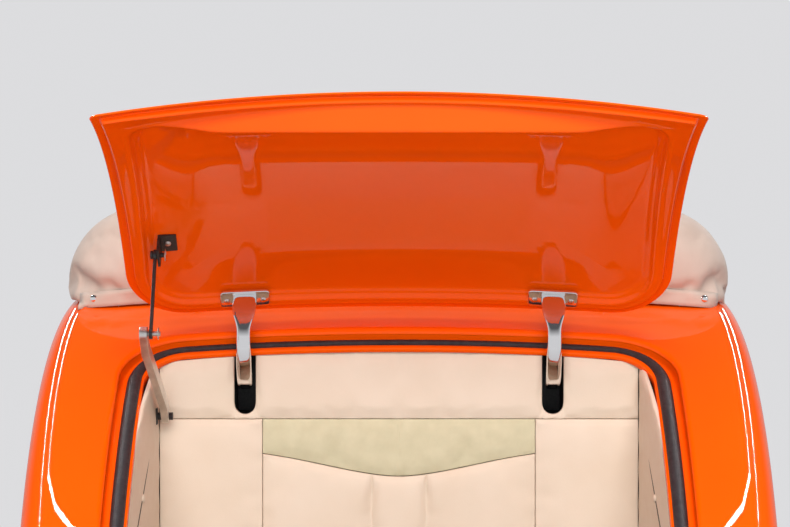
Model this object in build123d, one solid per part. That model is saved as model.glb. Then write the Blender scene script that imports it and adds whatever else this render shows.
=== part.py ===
"""Tail section of a 1930s style cabriolet: boot, hinged lid on gooseneck arms, power stay and hood stack.

X runs to the car's right as seen from behind, Y forward, Z up. The origin is the centre of the four
chassis bolts, on the underside of the floor rails. The lid is modelled open, as it stands at rest.
"""
from build123d import *
import os
from functools import lru_cache
from math import cos, hypot, radians, sin, sqrt, tan

# Body form: one fore-and-aft arc swung about an upright axis gives a flat deck and a tail round in plan
AXIS_Z = -58.739
DECK_SLOPE = 20.0
MAIN_RADIUS = 850.0
SWING_Y = 1568.0
SHOULDER_RADIUS = 52.0
HALF_WIDTH = 576.0
SIDE_DRAFT = -2.0
FRONT_Y = 460.0
BOTTOM_Z = 40.0
SKIN = 5.0
SEAT_GAP = 0.3
DECK_JOINT = 130.0
TAIL_JOINT = 45.0
QUARTER_JOINT = 20.0

# Boot opening and lid, drawn in a plane square to the direction the opening is cut in
LID_END_SLOPE = 62.0
DRAW_SLOPE = 30.0
OPENING_INSET = 138.0
FRONT_CORNER = 100.0
REAR_CORNER = 20.0
SMALLEST_CORNER = 6.0
PANEL_GAP = 6.0
HINGE_EDGE_GAP = 9.0
LID_SKIN = 3.5
LID_HEM = 12.0
RIM_DEPTH = 14.0
RIM_AT_LIP = 37.0
RIM_AT_HINGE = 20.0
RIM_STEP = 7.0
RIM_STEP_DEPTH = 10.0
DISH_DEPTH = 6.5
DISH_FRONT_CORNER = 70.0
DISH_REAR_CORNER = 45.0

# Pressed bar behind the lid's lip: a flat flange down to a straight ridge, then back up to the dish
BAR_START = 24.0
BAR_REACH = 42.0
BAR_DROP = 46.0
BAR_BACK = 34.0
BAR_ROUND = 7.0

# Gutter round the opening and its rubber seal
GUTTER_WALL = 3.0
LEDGE_DEPTH = 28.0
LEDGE_WIDTH = 36.0
LIP_DROP = 15.0
SEAL_WIDTH = 16.0
SEAL_HEIGHT = 9.0
SEAL_INSET = 16.0
SEAL_FRONT_INSET = 6.0
SEAL_ROUND = 4.0

# Lid hinge: gooseneck arms that turn on pins in pockets ahead of the deck edge
HINGE_X = 246.0
PIVOT_Y = 45.0
PIVOT_DROP = 18.0
LID_OPEN = 74.0
ARM_WIDTH = 24.0
ARM_FLARE = 38.0
ARM_NECK = 21.0
FLARE_DROP = 10.0
FLARE_LENGTH = 26.0
NECK_LENGTH = 40.0
ARM_INNER_RADIUS = 76.5
ARM_THICK = 12.0
ARM_EDGE = 6.0
ARM_ROOT_DROP = 66.0
ARM_TIP_DROP = 12.0
EYE_RADIUS = 10.0
PIN_RADIUS = 5.0
PIN_PRESS = 0.05
RUNNING_GAP = 0.08
PLATE_WIDTH = 80.0
PLATE_LENGTH = 34.0
PLATE_THICK = 4.0
PLATE_CORNER = 8.0
PLATE_INSET = 7.0

# Hinge pockets behind the front trim
POCKET_INNER = 38.0
POCKET_SHEET = 2.5
POCKET_DEPTH = 120.0
POCKET_DROP = 142.0
PIN_OVERHANG = 4.0

# Trim boards and bulkheads, with heights taken down from the deck edge
TRIM_INSET = 56.0
TRIM_Y = -4.0
TRIM_THICK = 10.0
TRIM_DROP = 39.0
SEAM_DROP = 143.0
SEAM_GAP = 1.5
SLOT_WIDTH = 34.0
SLOT_DROP = 135.0
PAD_HALF = 218.0
INSERT_SIDE_DROP = 198.0
INSERT_MID_DROP = 234.5
INSERT_BOW = 6.0
INSERT_SINK = 1.5
INSERT_GAP = 0.8
BOARD_THICK = 9.5
SIDE_TRIM_FLARE = 58.0
SIDE_TRIM_THICK = 9.0
CORNER_GAP = 1.0
LINING_THICK = 8.0
LINING_GAP = 2.0
LINING_DROP = 420.0
FLOOR_THICK = 12.0
CARPET_THICK = 8.0
SEAT_BOARD_THICK = 12.0

# Power stay on the left: arm and link form a parallelogram with the hinge and the lid
STAY_ARM_Y = -25.0
STAY_ARM_DROP = 136.0
STAY_LID_SLOPE = 34.6
STAY_LID_DEPTH = 33.0
STAY_ROOT_INSET = 11.0
STAY_TIP_OUTSET = 7.0
STAY_STRAIGHT = 30.0
STAY_BEND = 40.0
STAY_ARM_THICK = 12.0
STAY_ARM_WIDE = 21.0
STAY_PIN_RADIUS = 4.0
STAY_HEAD_RADIUS = 6.5
STAY_SHAFT_RADIUS = 6.0
LINK_INSET = 4.0
LINK_THICK = 5.0
LINK_WIDE = 8.0
LINK_EYE = 8.5
SIDE_PLAY = 1.0
PIN_TAIL = 6.0
KNUCKLE_TAIL = 12.0
EAR_THICK = 4.0
EAR_LENGTH = 38.0
EAR_SPARE = 9.0
FOOT_WIDTH = 28.0
SHAFT_HOLE = (18.0, 26.0)
MOUNT_OUTSET = 46.0
MOUNT_THICK = 8.0
MOUNT_REAR = 24.0
MOUNT_LOW = 50.0
MOUNT_HIGH = 18.0

# Floor rails and chassis bolts
RAIL_X = 350.0
RAIL_WIDTH = 60.0
RAIL_WALL = 4.0
RAIL_FRONT = 440.0
RAIL_REAR = -420.0
BOLT_Y = 250.0
BOLT_RADIUS = 6.5

# Folded hood under its cover
HOOD_REAR = 168.0
HOOD_FRONT = 448.0
HOOD_INSET = 36.0
HOOD_DRAFT = 3.5
HOOD_RISE = 262.0
HOOD_CROWN = 1500.0
HOOD_SHOULDER = 130.0
HOOD_ROUND = 75.0

EDGE_Z = AXIS_Z + MAIN_RADIUS * cos(radians(DECK_SLOPE))
MAIN_Y = MAIN_RADIUS * sin(radians(DECK_SLOPE))
MID_SLOPE = (DECK_SLOPE + LID_END_SLOPE) / 2
FLOOR_TOP = BOTTOM_Z + FLOOR_THICK
REACH = 2 * MAIN_RADIUS
OPENING_HALF = HALF_WIDTH - OPENING_INSET
TRIM_HALF = OPENING_HALF - TRIM_INSET
PIVOT_Z = EDGE_Z - PIVOT_DROP
SWING = Axis((0, SWING_Y, 0), (0, 0, 1))
ACROSS = Plane((0, 0, 0), x_dir=(0, 1, 0), z_dir=(1, 0, 0))
REARWARD = Plane((0, FRONT_Y + SKIN, 0), x_dir=(1, 0, 0), z_dir=(0, -1, 0))
HINGE = Axis((0, PIVOT_Y, PIVOT_Z), (1, 0, 0))


def sweep_point(slope, depth=0.0):
    """Centreline point of the tail's sweep where it falls at this slope, this far under the surface."""
    radius = MAIN_RADIUS - depth
    return MAIN_Y - radius * sin(radians(slope)), AXIS_Z + radius * cos(radians(slope))


def arched(half, top, crown, shoulder, draft, depth, foot):
    """Arched section in X and height: one crown arc, two shoulder arcs and drafted sides."""
    drop = (sin(radians(draft)), -cos(radians(draft)))
    inward = (-cos(radians(draft)), -sin(radians(draft)))
    crown_low = top - crown
    x0 = half + shoulder * inward[0]
    r0 = top + shoulder * inward[1] - crown_low
    half_b = x0 * drop[0] + r0 * drop[1]
    rest = x0 * x0 + r0 * r0 - (crown - shoulder) ** 2
    slide = -half_b - sqrt(half_b * half_b - rest)
    cx = x0 + slide * drop[0]
    cr = r0 + slide * drop[1]
    reach = hypot(cx, cr)
    out = (cx / reach, cr / reach)
    crown_end = (out[0] * (crown - depth), out[1] * (crown - depth) + crown_low)
    bend = shoulder - depth
    centre = (cx, cr + crown_low)
    side_top = (centre[0] - bend * inward[0], centre[1] - bend * inward[1])
    mid = (out[0] - inward[0], out[1] - inward[1])
    bend_mid = (centre[0] + bend * mid[0] / hypot(*mid), centre[1] + bend * mid[1] / hypot(*mid))
    run = (side_top[1] - foot) / -drop[1]
    right = [crown_end, bend_mid, side_top, (side_top[0] + run * drop[0], foot)]
    left = [(-x, r) for x, r in right]
    return make_face([
        ThreePointArc(left[0], (0, top - depth), right[0]),
        ThreePointArc(right[0], right[1], right[2]),
        Line(right[2], right[3]),
        Line(right[3], left[3]),
        Line(left[3], left[2]),
        ThreePointArc(left[2], left[1], left[0]),
    ])


@lru_cache(maxsize=None)
def crown(depth):
    """Everything under the deck and tail surface, this far under it, without sides."""
    head = sweep_point(-25.0, depth)
    foot = sweep_point(92.0, depth)
    edge = ThreePointArc(head, sweep_point(MID_SLOPE, depth), foot)
    corner = (head[0], foot[1])
    section = make_face([edge, Line(foot, corner), Line(corner, head)])
    return revolve(ACROSS * section, SWING, 70.0).rotate(SWING, -35.0)


@lru_cache(maxsize=None)
def hull(depth):
    """Everything inside the body's surface, this far under it, with drafted sides and round shoulders."""
    high = EDGE_Z + MAIN_RADIUS / 4
    low = BOTTOM_Z - SKIN
    widths = []
    for z in (high, low):
        widths.append(HALF_WIDTH - depth / cos(radians(SIDE_DRAFT)) - (z - EDGE_Z) * tan(radians(SIDE_DRAFT)))
    outer = make_face(Polyline(
        (-widths[0], high), (widths[0], high), (widths[1], low), (-widths[1], low), close=True))
    blank = crown(depth) & extrude(REARWARD * outer, FRONT_Y + SKIN + REACH)
    rolls = [e for e in blank.edges() if abs(e.center().X) > HALF_WIDTH / 2 and e.geom_type != GeomType.LINE]
    return fillet(rolls, SHOULDER_RADIUS - depth)


@lru_cache(maxsize=None)
def band(outer, inner):
    """Layer under the deck, lid and tail surface between two depths."""
    return crown(outer) - crown(inner)


def lid_run(y, z):
    """Distance forward along the lid plane."""
    return (y - MID_Y) * cos(radians(DRAW_SLOPE)) + (z - MID_Z) * sin(radians(DRAW_SLOPE))


MID_Y, MID_Z = sweep_point(MID_SLOPE)
LID_FRONT = lid_run(*sweep_point(DECK_SLOPE))
LID_REAR = lid_run(*sweep_point(LID_END_SLOPE))
LID_PLANE = Plane(
    (0, MID_Y, MID_Z),
    x_dir=(1, 0, 0),
    z_dir=(0, -sin(radians(DRAW_SLOPE)), cos(radians(DRAW_SLOPE))),
)


def outline(inset, hinge_edge=None):
    """Opening outline in the lid plane, moved inward by the inset, or by its own amount at the hinge edge."""
    half = OPENING_HALF - inset
    front_run = LID_FRONT - (inset if hinge_edge is None else hinge_edge)
    rear_run = LID_REAR + inset
    shape = Location((0, (front_run + rear_run) / 2, 0)) * Rectangle(2 * half, front_run - rear_run)
    shape = fillet(shape.vertices().group_by(Axis.Y)[-1], FRONT_CORNER - inset)
    return fillet(shape.vertices().group_by(Axis.Y)[0], max(REAR_CORNER - inset, SMALLEST_CORNER))


def prism(face):
    return extrude(LID_PLANE * face, amount=MAIN_RADIUS / 4, both=True)


def layer(face, outer, inner):
    """Part of one hull layer that lies under a face drawn in the lid plane."""
    return prism(face) & band(outer, inner)


def block(x0, x1, y0, y1, z0, z1):
    centre = Location(((x0 + x1) / 2, (y0 + y1) / 2, (z0 + z1) / 2))
    return centre * Box(abs(x1 - x0), abs(y1 - y0), abs(z1 - z0))


def rod(x0, x1, y, z, radius):
    """Round bar along X."""
    end = Plane((min(x0, x1), y, z), x_dir=(0, 1, 0), z_dir=(1, 0, 0))
    return end * extrude(Circle(radius), abs(x1 - x0))


def lifted(shape):
    """A lid piece turned from its shut place to its open rest place."""
    return shape.rotate(HINGE, -LID_OPEN)


nodes = {}

# Body skin: one sweep with the opening cut out, joined from four panels
skin = (hull(0) - hull(SKIN)) & block(-REACH, REACH, -REACH, FRONT_Y, BOTTOM_Z, REACH)
skin = skin - prism(outline(0))
joint_half = OPENING_HALF + GUTTER_WALL + QUARTER_JOINT
deck_zone = LID_PLANE * Location((0, LID_FRONT - DECK_JOINT + REACH / 2, 0)) * Box(2 * joint_half, REACH, REACH)
tail_zone = LID_PLANE * Location((0, LID_REAR + TAIL_JOINT - REACH / 2, 0)) * Box(2 * joint_half, REACH, REACH)
nodes["deck_panel"] = skin & deck_zone
nodes["tail_panel"] = skin & tail_zone
quarters = skin - deck_zone - tail_zone
nodes["quarter_panel_left"] = quarters & block(-REACH, 0, -REACH, REACH, 0, REACH)
nodes["quarter_panel_right"] = quarters & block(0, REACH, -REACH, REACH, 0, REACH)

# Gutter: wall, ledge and turned-down lip, with the bulb seal on the ledge
ledge_low = LEDGE_DEPTH + GUTTER_WALL
gutter = layer(outline(-GUTTER_WALL) - outline(0), SKIN + SEAT_GAP, ledge_low)
gutter += layer(outline(-GUTTER_WALL) - outline(LEDGE_WIDTH), LEDGE_DEPTH, ledge_low)
gutter += layer(outline(LEDGE_WIDTH - GUTTER_WALL) - outline(LEDGE_WIDTH), LEDGE_DEPTH, LEDGE_DEPTH + LIP_DROP)
nodes["opening_gutter"] = gutter
seal = None
for narrow, top in ((0.0, SEAL_HEIGHT - SEAL_ROUND), (SEAL_ROUND / 2, SEAL_HEIGHT)):
    ring = outline(SEAL_INSET + narrow, SEAL_FRONT_INSET + narrow)
    ring -= outline(SEAL_INSET + SEAL_WIDTH - narrow, SEAL_FRONT_INSET + SEAL_WIDTH - narrow)
    bead = layer(ring, LEDGE_DEPTH - top, LEDGE_DEPTH - SEAT_GAP)
    seal = bead if seal is None else seal + bead
nodes["boot_seal"] = seal

# Floor, rails, seat bulkhead and boot bulkhead inside the skin
room = hull(SKIN + SEAT_GAP)
under_lip = LEDGE_DEPTH + LIP_DROP + CORNER_GAP
trim_room = crown(under_lip)
trim_top = EDGE_Z - TRIM_DROP
front = TRIM_Y + TRIM_THICK
nodes["boot_floor"] = room & block(-REACH, REACH, -REACH, FRONT_Y, BOTTOM_Z, FLOOR_TOP)
seat_z = FLOOR_TOP + SEAT_GAP
nodes["seat_bulkhead"] = room & block(-REACH, REACH, FRONT_Y - SEAT_BOARD_THICK, FRONT_Y, seat_z, REACH)
board_y = front + SEAT_GAP
board = room & block(-REACH, REACH, board_y, board_y + BOARD_THICK, seat_z, trim_top)
pocket_low = EDGE_Z - POCKET_DROP
pocket_half = POCKET_INNER / 2 + POCKET_SHEET
for x in (-HINGE_X, HINGE_X):
    half = pocket_half + SEAT_GAP
    board -= block(x - half, x + half, TRIM_Y, TRIM_Y + POCKET_DEPTH, pocket_low - SEAT_GAP, EDGE_Z)
nodes["boot_bulkhead"] = board & trim_room

rail_top = BOTTOM_Z - SEAT_GAP
for name, x in (("left", -RAIL_X), ("right", RAIL_X)):
    rail = block(x - RAIL_WIDTH / 2, x + RAIL_WIDTH / 2, RAIL_REAR, RAIL_FRONT, 0, rail_top)
    half = RAIL_WIDTH / 2 - RAIL_WALL
    rail -= block(x - half, x + half, 2 * RAIL_REAR, 2 * RAIL_FRONT, RAIL_WALL, rail_top - RAIL_WALL)
    for y in (-BOLT_Y, BOLT_Y):
        rail -= Location((x, y, 0)) * Cylinder(BOLT_RADIUS, rail_top)
    nodes["floor_rail_" + name] = rail

# Trim: slotted upper board, three lower pads with a suede insert, side boards, tail lining, carpet
seam_z = EDGE_Z - SEAM_DROP
upper = block(-TRIM_HALF, TRIM_HALF, TRIM_Y, front, seam_z + SEAM_GAP, trim_top)
slot_mid = EDGE_Z - SLOT_DROP + SLOT_WIDTH / 2
for x in (-HINGE_X, HINGE_X):
    half = SLOT_WIDTH / 2
    upper -= block(x - half, x + half, TRIM_Y - half, front + half, slot_mid, EDGE_Z)
    upper -= Location((x, 0, slot_mid)) * (Rotation(90, 0, 0) * Cylinder(half, 4 * TRIM_THICK))
nodes["trim_front_upper"] = upper & trim_room

pad_low = seat_z + CARPET_THICK + SEAT_GAP
for name, x0, x1 in (
    ("trim_pad_left", -TRIM_HALF, -PAD_HALF - SEAM_GAP),
    ("trim_pad_right", PAD_HALF + SEAM_GAP, TRIM_HALF),
):
    nodes[name] = block(x0, x1, TRIM_Y, front, pad_low, seam_z)
side_z = EDGE_Z - INSERT_SIDE_DROP
mid_z = EDGE_Z - INSERT_MID_DROP
bow_z = (side_z + mid_z) / 2 + INSERT_BOW
insert_face = make_face([
    ThreePointArc((-PAD_HALF, side_z), (-PAD_HALF / 2, bow_z), (0, mid_z)),
    ThreePointArc((0, mid_z), (PAD_HALF / 2, bow_z), (PAD_HALF, side_z)),
    Line((PAD_HALF, side_z), (PAD_HALF, seam_z)),
    Line((PAD_HALF, seam_z), (-PAD_HALF, seam_z)),
    Line((-PAD_HALF, seam_z), (-PAD_HALF, side_z)),
])
upright = Plane((0, front, 0), x_dir=(1, 0, 0), z_dir=(0, -1, 0))
nodes["trim_insert"] = extrude(upright * insert_face, TRIM_THICK - INSERT_SINK)
centre_pad = block(-PAD_HALF, PAD_HALF, TRIM_Y, front, pad_low, seam_z)
centre_pad -= extrude(upright * offset(insert_face, INSERT_GAP), 2 * TRIM_THICK, both=True)
nodes["trim_pad_centre"] = centre_pad

stay_z = EDGE_Z - STAY_ARM_DROP
board_front = TRIM_Y - SEAM_GAP
board_rear = MAIN_Y - MAIN_RADIUS
for name, side in (("left", -1), ("right", 1)):
    near = TRIM_HALF + CORNER_GAP
    far = TRIM_HALF + SIDE_TRIM_FLARE
    plan = make_face(Polyline(
        (side * near, board_front),
        (side * (near + SIDE_TRIM_THICK), board_front),
        (side * (far + SIDE_TRIM_THICK), board_rear),
        (side * far, board_rear),
        close=True,
    ))
    side_board = extrude(Location((0, 0, pad_low)) * plan, EDGE_Z) & trim_room
    if side < 0:
        hole = Box(2 * MOUNT_OUTSET, *SHAFT_HOLE)
        side_board -= Location((-near, STAY_ARM_Y, stay_z)) * hole
    nodes["trim_side_" + name] = side_board

lining_outer = under_lip + LINING_GAP
lining = band(lining_outer, lining_outer + LINING_THICK)
lining_half = TRIM_HALF + LINING_THICK
lining_top = EDGE_Z - LINING_DROP
nodes["trim_tail_lining"] = lining & block(-lining_half, lining_half, -REACH, 0, pad_low, lining_top)
carpet = block(-TRIM_HALF, TRIM_HALF, -REACH, front, seat_z, seat_z + CARPET_THICK)
nodes["boot_carpet"] = carpet & crown(lining_outer + LINING_THICK + CORNER_GAP)

# Hinge pockets with their pins, behind the bulkhead
pin_half = pocket_half + PIN_OVERHANG
gutter_room = layer(outline(-GUTTER_WALL - CORNER_GAP), 0, ledge_low + CORNER_GAP)
for name, x in (("left", -HINGE_X), ("right", HINGE_X)):
    deep = board_y + POCKET_DEPTH
    inner = POCKET_INNER / 2
    pocket = block(x - pocket_half, x + pocket_half, board_y, deep, pocket_low, EDGE_Z)
    hollow_low = pocket_low + POCKET_SHEET
    pocket -= block(x - inner, x + inner, TRIM_Y, deep - POCKET_SHEET, hollow_low, EDGE_Z + POCKET_SHEET)
    pocket = (pocket & crown(SKIN + SEAT_GAP)) - gutter_room
    pocket -= rod(x - pin_half, x + pin_half, PIVOT_Y, PIVOT_Z, PIN_RADIUS + PIN_PRESS)
    nodes["hinge_pocket_" + name] = pocket
    nodes["hinge_pin_" + name] = rod(x - pin_half, x + pin_half, PIVOT_Y, PIVOT_Z, PIN_RADIUS)

# Lid: skin, and a pressed inner panel with a stepped rim, a dish and a bar behind the lip
nodes["lid_skin"] = lifted(layer(outline(PANEL_GAP, HINGE_EDGE_GAP), 0, LID_SKIN))
inner_edge = PANEL_GAP + LID_HEM
inner_front = HINGE_EDGE_GAP + LID_HEM
inner_half = OPENING_HALF - inner_edge
panel = layer(outline(inner_edge, inner_front), LID_SKIN + SEAT_GAP, RIM_DEPTH)


def dish(extra):
    """Outline of the dish, narrower towards the lip, moved inward by the extra amount."""
    front_run = LID_FRONT - inner_front - RIM_AT_HINGE - extra
    rear_run = LID_REAR + inner_edge + RIM_AT_LIP + extra
    wide = inner_half - RIM_AT_HINGE - extra
    slim = inner_half - RIM_AT_LIP - extra
    shape = make_face(Polyline(
        (-slim, rear_run), (slim, rear_run), (wide, front_run), (-wide, front_run), close=True))
    shape = fillet(shape.vertices().group_by(Axis.Y)[-1], DISH_FRONT_CORNER - extra)
    return fillet(shape.vertices().group_by(Axis.Y)[0], DISH_REAR_CORNER - extra)


panel -= layer(dish(0), RIM_STEP_DEPTH, 2 * RIM_DEPTH)
panel -= layer(dish(RIM_STEP), DISH_DEPTH, 2 * RIM_DEPTH)


def near_lip(run, depth):
    """Point this far ahead of the opening's rear edge and this deep under the lip, shut, on the centreline."""
    slope = LID_END_SLOPE
    y, z = sweep_point(slope, depth)
    return y + run * cos(radians(slope)), z + run * sin(radians(slope))


bar_face = make_face(Polyline(
    near_lip(BAR_START, LID_SKIN),
    near_lip(BAR_START + BAR_REACH, BAR_DROP),
    near_lip(BAR_START + BAR_REACH + BAR_BACK, LID_SKIN),
    near_lip(BAR_START + BAR_REACH, -BAR_DROP),
    close=True,
))
ridge_y = near_lip(BAR_START + BAR_REACH, BAR_DROP)
ridge = bar_face.vertices().sort_by(lambda v: hypot(v.X - ridge_y[0], v.Y - ridge_y[1]))[0]
bar_face = fillet(ridge, BAR_ROUND)
lip_bar = extrude(ACROSS * bar_face, inner_half, both=True)
panel += lip_bar & prism(outline(inner_edge, inner_front)) & crown(LID_SKIN + SEAT_GAP)
nodes["lid_inner_panel"] = lifted(panel)

# Gooseneck arms: a curved blade with a flared neck, an eye on the pin and a screw plate on the lid's rim
arm_outer = ARM_INNER_RADIUS + ARM_THICK
edge_radius = ARM_INNER_RADIUS + ARM_EDGE
blade = make_face([
    Line((-ARM_FLARE / 2, edge_radius), (-ARM_FLARE / 2, ARM_INNER_RADIUS)),
    Line((-ARM_FLARE / 2, ARM_INNER_RADIUS), (ARM_FLARE / 2, ARM_INNER_RADIUS)),
    Line((ARM_FLARE / 2, ARM_INNER_RADIUS), (ARM_FLARE / 2, edge_radius)),
    ThreePointArc((ARM_FLARE / 2, edge_radius), (0, arm_outer), (-ARM_FLARE / 2, edge_radius)),
])
plate_depth = RIM_DEPTH + SEAT_GAP
plate_front = LID_FRONT - inner_front - PLATE_INSET
plate_face = RectangleRounded(PLATE_WIDTH, PLATE_LENGTH, PLATE_CORNER)
flare_top = EDGE_Z + ARM_FLARE
flare_z = flare_top - FLARE_DROP
neck_z = flare_z - FLARE_LENGTH
wide_z = neck_z - NECK_LENGTH
mid_half = (ARM_FLARE + 3 * ARM_NECK) / 8
x = -HINGE_X
straight_back = Plane((x, PIVOT_Y, PIVOT_Z), x_dir=(-1, 0, 0), z_dir=(0, 0, 1))
curve = revolve(straight_back * blade, HINGE, LID_OPEN + ARM_ROOT_DROP - ARM_TIP_DROP)
curve = curve.rotate(HINGE, ARM_TIP_DROP)
spoke_rear = PIVOT_Y - ARM_INNER_RADIUS - ARM_EDGE / 2
half = ARM_FLARE / 2
spoke = block(x - half, x + half, spoke_rear, PIVOT_Y, PIVOT_Z - ARM_EDGE, PIVOT_Z + ARM_EDGE)
spoke = spoke.rotate(HINGE, LID_OPEN + ARM_ROOT_DROP - ARM_EDGE)
arm = curve + spoke + rod(x - half, x + half, PIVOT_Y, PIVOT_Z, EYE_RADIUS)
arm = arm - band(-SKIN, plate_depth + PLATE_THICK / 2)
shape = [(ARM_FLARE / 2, flare_z), (mid_half, neck_z + FLARE_LENGTH / 3), (ARM_NECK / 2, neck_z)]
right = [(x + w, z) for w, z in shape]
left = [(x - w, z) for w, z in shape]
low = ((x - ARM_WIDTH / 2, wide_z), (x - ARM_WIDTH / 2, pocket_low), (x + ARM_WIDTH / 2, pocket_low))
top_z = EDGE_Z + MAIN_RADIUS / 4
profile = make_face([
    ThreePointArc(*right),
    Line(right[2], (x + ARM_WIDTH / 2, wide_z)),
    Line((x + ARM_WIDTH / 2, wide_z), low[2]),
    Line(low[2], low[1]),
    Line(low[1], low[0]),
    Line(low[0], left[2]),
    ThreePointArc(*left[::-1]),
    Line(left[0], (x - ARM_FLARE, top_z)),
    Line((x - ARM_FLARE, top_z), (x + ARM_FLARE, top_z)),
    Line((x + ARM_FLARE, top_z), right[0]),
])
seen = Plane((0, 0, 0), x_dir=(1, 0, 0), z_dir=(0, -1, 0))
arm = lifted(arm) & extrude(seen * profile, REACH, both=True)
plate_place = Location((x, plate_front - PLATE_LENGTH / 2, 0))
plate = layer(plate_place * plate_face, plate_depth, plate_depth + PLATE_THICK)
arm = arm + lifted(plate)
arm -= rod(x - half, x + half, PIVOT_Y, PIVOT_Z, PIN_RADIUS + RUNNING_GAP)
nodes["hinge_arm_left"] = arm
nodes["hinge_arm_right"] = mirror(arm, about=Plane.YZ)

# Stay: bracket on the lid, link, arm, and the shaft that carries the arm
link_x = LINK_INSET - TRIM_HALF
root_x = STAY_ROOT_INSET - TRIM_HALF
tip_x = -STAY_TIP_OUTSET - TRIM_HALF
mid_y, shut_z = sweep_point(STAY_LID_SLOPE, STAY_LID_DEPTH)
shut_y = SWING_Y - sqrt((SWING_Y - mid_y) ** 2 - link_x ** 2)
turn = radians(LID_OPEN)
lid_y = PIVOT_Y + (shut_y - PIVOT_Y) * cos(turn) + (shut_z - PIVOT_Z) * sin(turn)
lid_z = PIVOT_Z - (shut_y - PIVOT_Y) * sin(turn) + (shut_z - PIVOT_Z) * cos(turn)
knuckle_y = lid_y + STAY_ARM_Y - PIVOT_Y
knuckle_z = lid_z + stay_z - PIVOT_Z
print("pivot", round(PIVOT_Z, 2), "stay", round(stay_z, 2), "lid pin", round(lid_y, 2), round(lid_z, 2))

link_left = link_x - LINK_THICK / 2
link_right = link_x + LINK_THICK / 2
ear_x = link_right + SIDE_PLAY
lid_v = lid_run(shut_y, shut_z)
foot_depth = DISH_DEPTH + SEAT_GAP
foot = Location((ear_x + FOOT_WIDTH / 2, lid_v, 0)) * Rectangle(FOOT_WIDTH, EAR_LENGTH)
ear = Location((ear_x + EAR_THICK / 2, lid_v, 0)) * Rectangle(EAR_THICK, EAR_LENGTH)
bracket = layer(foot, foot_depth, foot_depth + EAR_THICK)
bracket += layer(ear, foot_depth, STAY_LID_DEPTH + EAR_SPARE)
head_x = link_left - SIDE_PLAY
bracket += rod(head_x - EAR_THICK, ear_x + EAR_THICK + PIN_TAIL, shut_y, shut_z, STAY_PIN_RADIUS)
bracket += rod(head_x - EAR_THICK, head_x, shut_y, shut_z, STAY_HEAD_RADIUS)
nodes["stay_lid_bracket"] = lifted(bracket)

along_y = knuckle_y - lid_y
along_z = knuckle_z - lid_z
link_len = hypot(along_y, along_z)
link_dir = (0, along_y / link_len, along_z / link_len)
link_plane = Plane((link_left, lid_y, lid_z), x_dir=link_dir, z_dir=(1, 0, 0))
far_end = Location((link_len, 0, 0))
link_face = Location((link_len / 2, 0, 0)) * SlotCenterToCenter(link_len, LINK_WIDE)
link_face += Circle(LINK_EYE) + far_end * Circle(LINK_EYE)
link_face -= Circle(STAY_PIN_RADIUS + RUNNING_GAP) + far_end * Circle(STAY_PIN_RADIUS + RUNNING_GAP)
nodes["stay_link"] = extrude(link_plane * link_face, LINK_THICK)

bar_y = knuckle_y - STAY_ARM_Y
bar_z = knuckle_z - stay_z
bar_len = hypot(bar_y, bar_z)
bar_plane = Plane((0, STAY_ARM_Y, stay_z), x_dir=(1, 0, 0), z_dir=(0, -bar_z / bar_len, bar_y / bar_len))
half_thick = STAY_ARM_THICK / 2
tip = bar_len + STAY_ARM_WIDE / 2
joggle = bar_len - STAY_BEND
bar_face = make_face(Polyline(
    (root_x - half_thick, -STAY_ARM_WIDE / 2),
    (root_x + half_thick, -STAY_ARM_WIDE / 2),
    (root_x + half_thick, STAY_STRAIGHT),
    (tip_x + half_thick, joggle),
    (tip_x + half_thick, tip),
    (tip_x - half_thick, tip),
    (tip_x - half_thick, joggle),
    (root_x - half_thick, STAY_STRAIGHT),
    close=True,
))
bar = extrude(bar_plane * bar_face, STAY_ARM_WIDE / 2, both=True)
side_dir = (0, bar_y / bar_len, bar_z / bar_len)
side_plane = Plane((-HALF_WIDTH, STAY_ARM_Y, stay_z), x_dir=side_dir, z_dir=(1, 0, 0))
side_face = Location((bar_len / 2, 0, 0)) * SlotCenterToCenter(bar_len, STAY_ARM_WIDE)
bar = bar & extrude(side_plane * side_face, HALF_WIDTH)
bore = STAY_SHAFT_RADIUS + RUNNING_GAP
bar -= rod(root_x - STAY_ARM_THICK, root_x + STAY_ARM_THICK, STAY_ARM_Y, stay_z, bore)
nodes["stay_arm"] = bar + rod(tip_x, link_right + KNUCKLE_TAIL, knuckle_y, knuckle_z, STAY_PIN_RADIUS)

mount_x = -MOUNT_OUTSET - TRIM_HALF
mount_low = stay_z - MOUNT_LOW
mount = block(mount_x - MOUNT_THICK, mount_x, STAY_ARM_Y - MOUNT_REAR, front, mount_low, stay_z + MOUNT_HIGH)
mount += rod(mount_x, root_x + half_thick + PIN_TAIL, STAY_ARM_Y, stay_z, STAY_SHAFT_RADIUS)
nodes["stay_drive_mount"] = mount

# Folded hood under its cover, resting on the deck
hood_half = HALF_WIDTH - HOOD_INSET
hood_top = EDGE_Z + HOOD_RISE
hood_face = arched(hood_half, hood_top, HOOD_CROWN, HOOD_SHOULDER, HOOD_DRAFT, 0.0, EDGE_Z - HOOD_RISE / 2)
hood_plane = Plane((0, HOOD_FRONT, 0), x_dir=(1, 0, 0), z_dir=(0, -1, 0))
hood = extrude(hood_plane * hood_face, HOOD_FRONT - HOOD_REAR)
hood_base = hood.faces().sort_by(Axis.Z)[0]
hood_mid = (HOOD_REAR + HOOD_FRONT) / 2
hood_rims = [e for e in hood.edges() if abs(e.center().Y - hood_mid) > (HOOD_FRONT - hood_mid) - SKIN]
hood = fillet([e for e in hood_rims if e.center().Z > hood_base.center().Z + SKIN], HOOD_ROUND)
nodes["hood_cover"] = hood - hull(-SEAT_GAP)

os.makedirs("parts", exist_ok=True)
for name, shape in nodes.items():
    export_step(shape, "parts/" + name + ".step")
print(len(nodes), "nodes")
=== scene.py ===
import bmesh
import bpy
import math
from mathutils import Matrix, Vector
from mathutils.bvhtree import BVHTree


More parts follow.
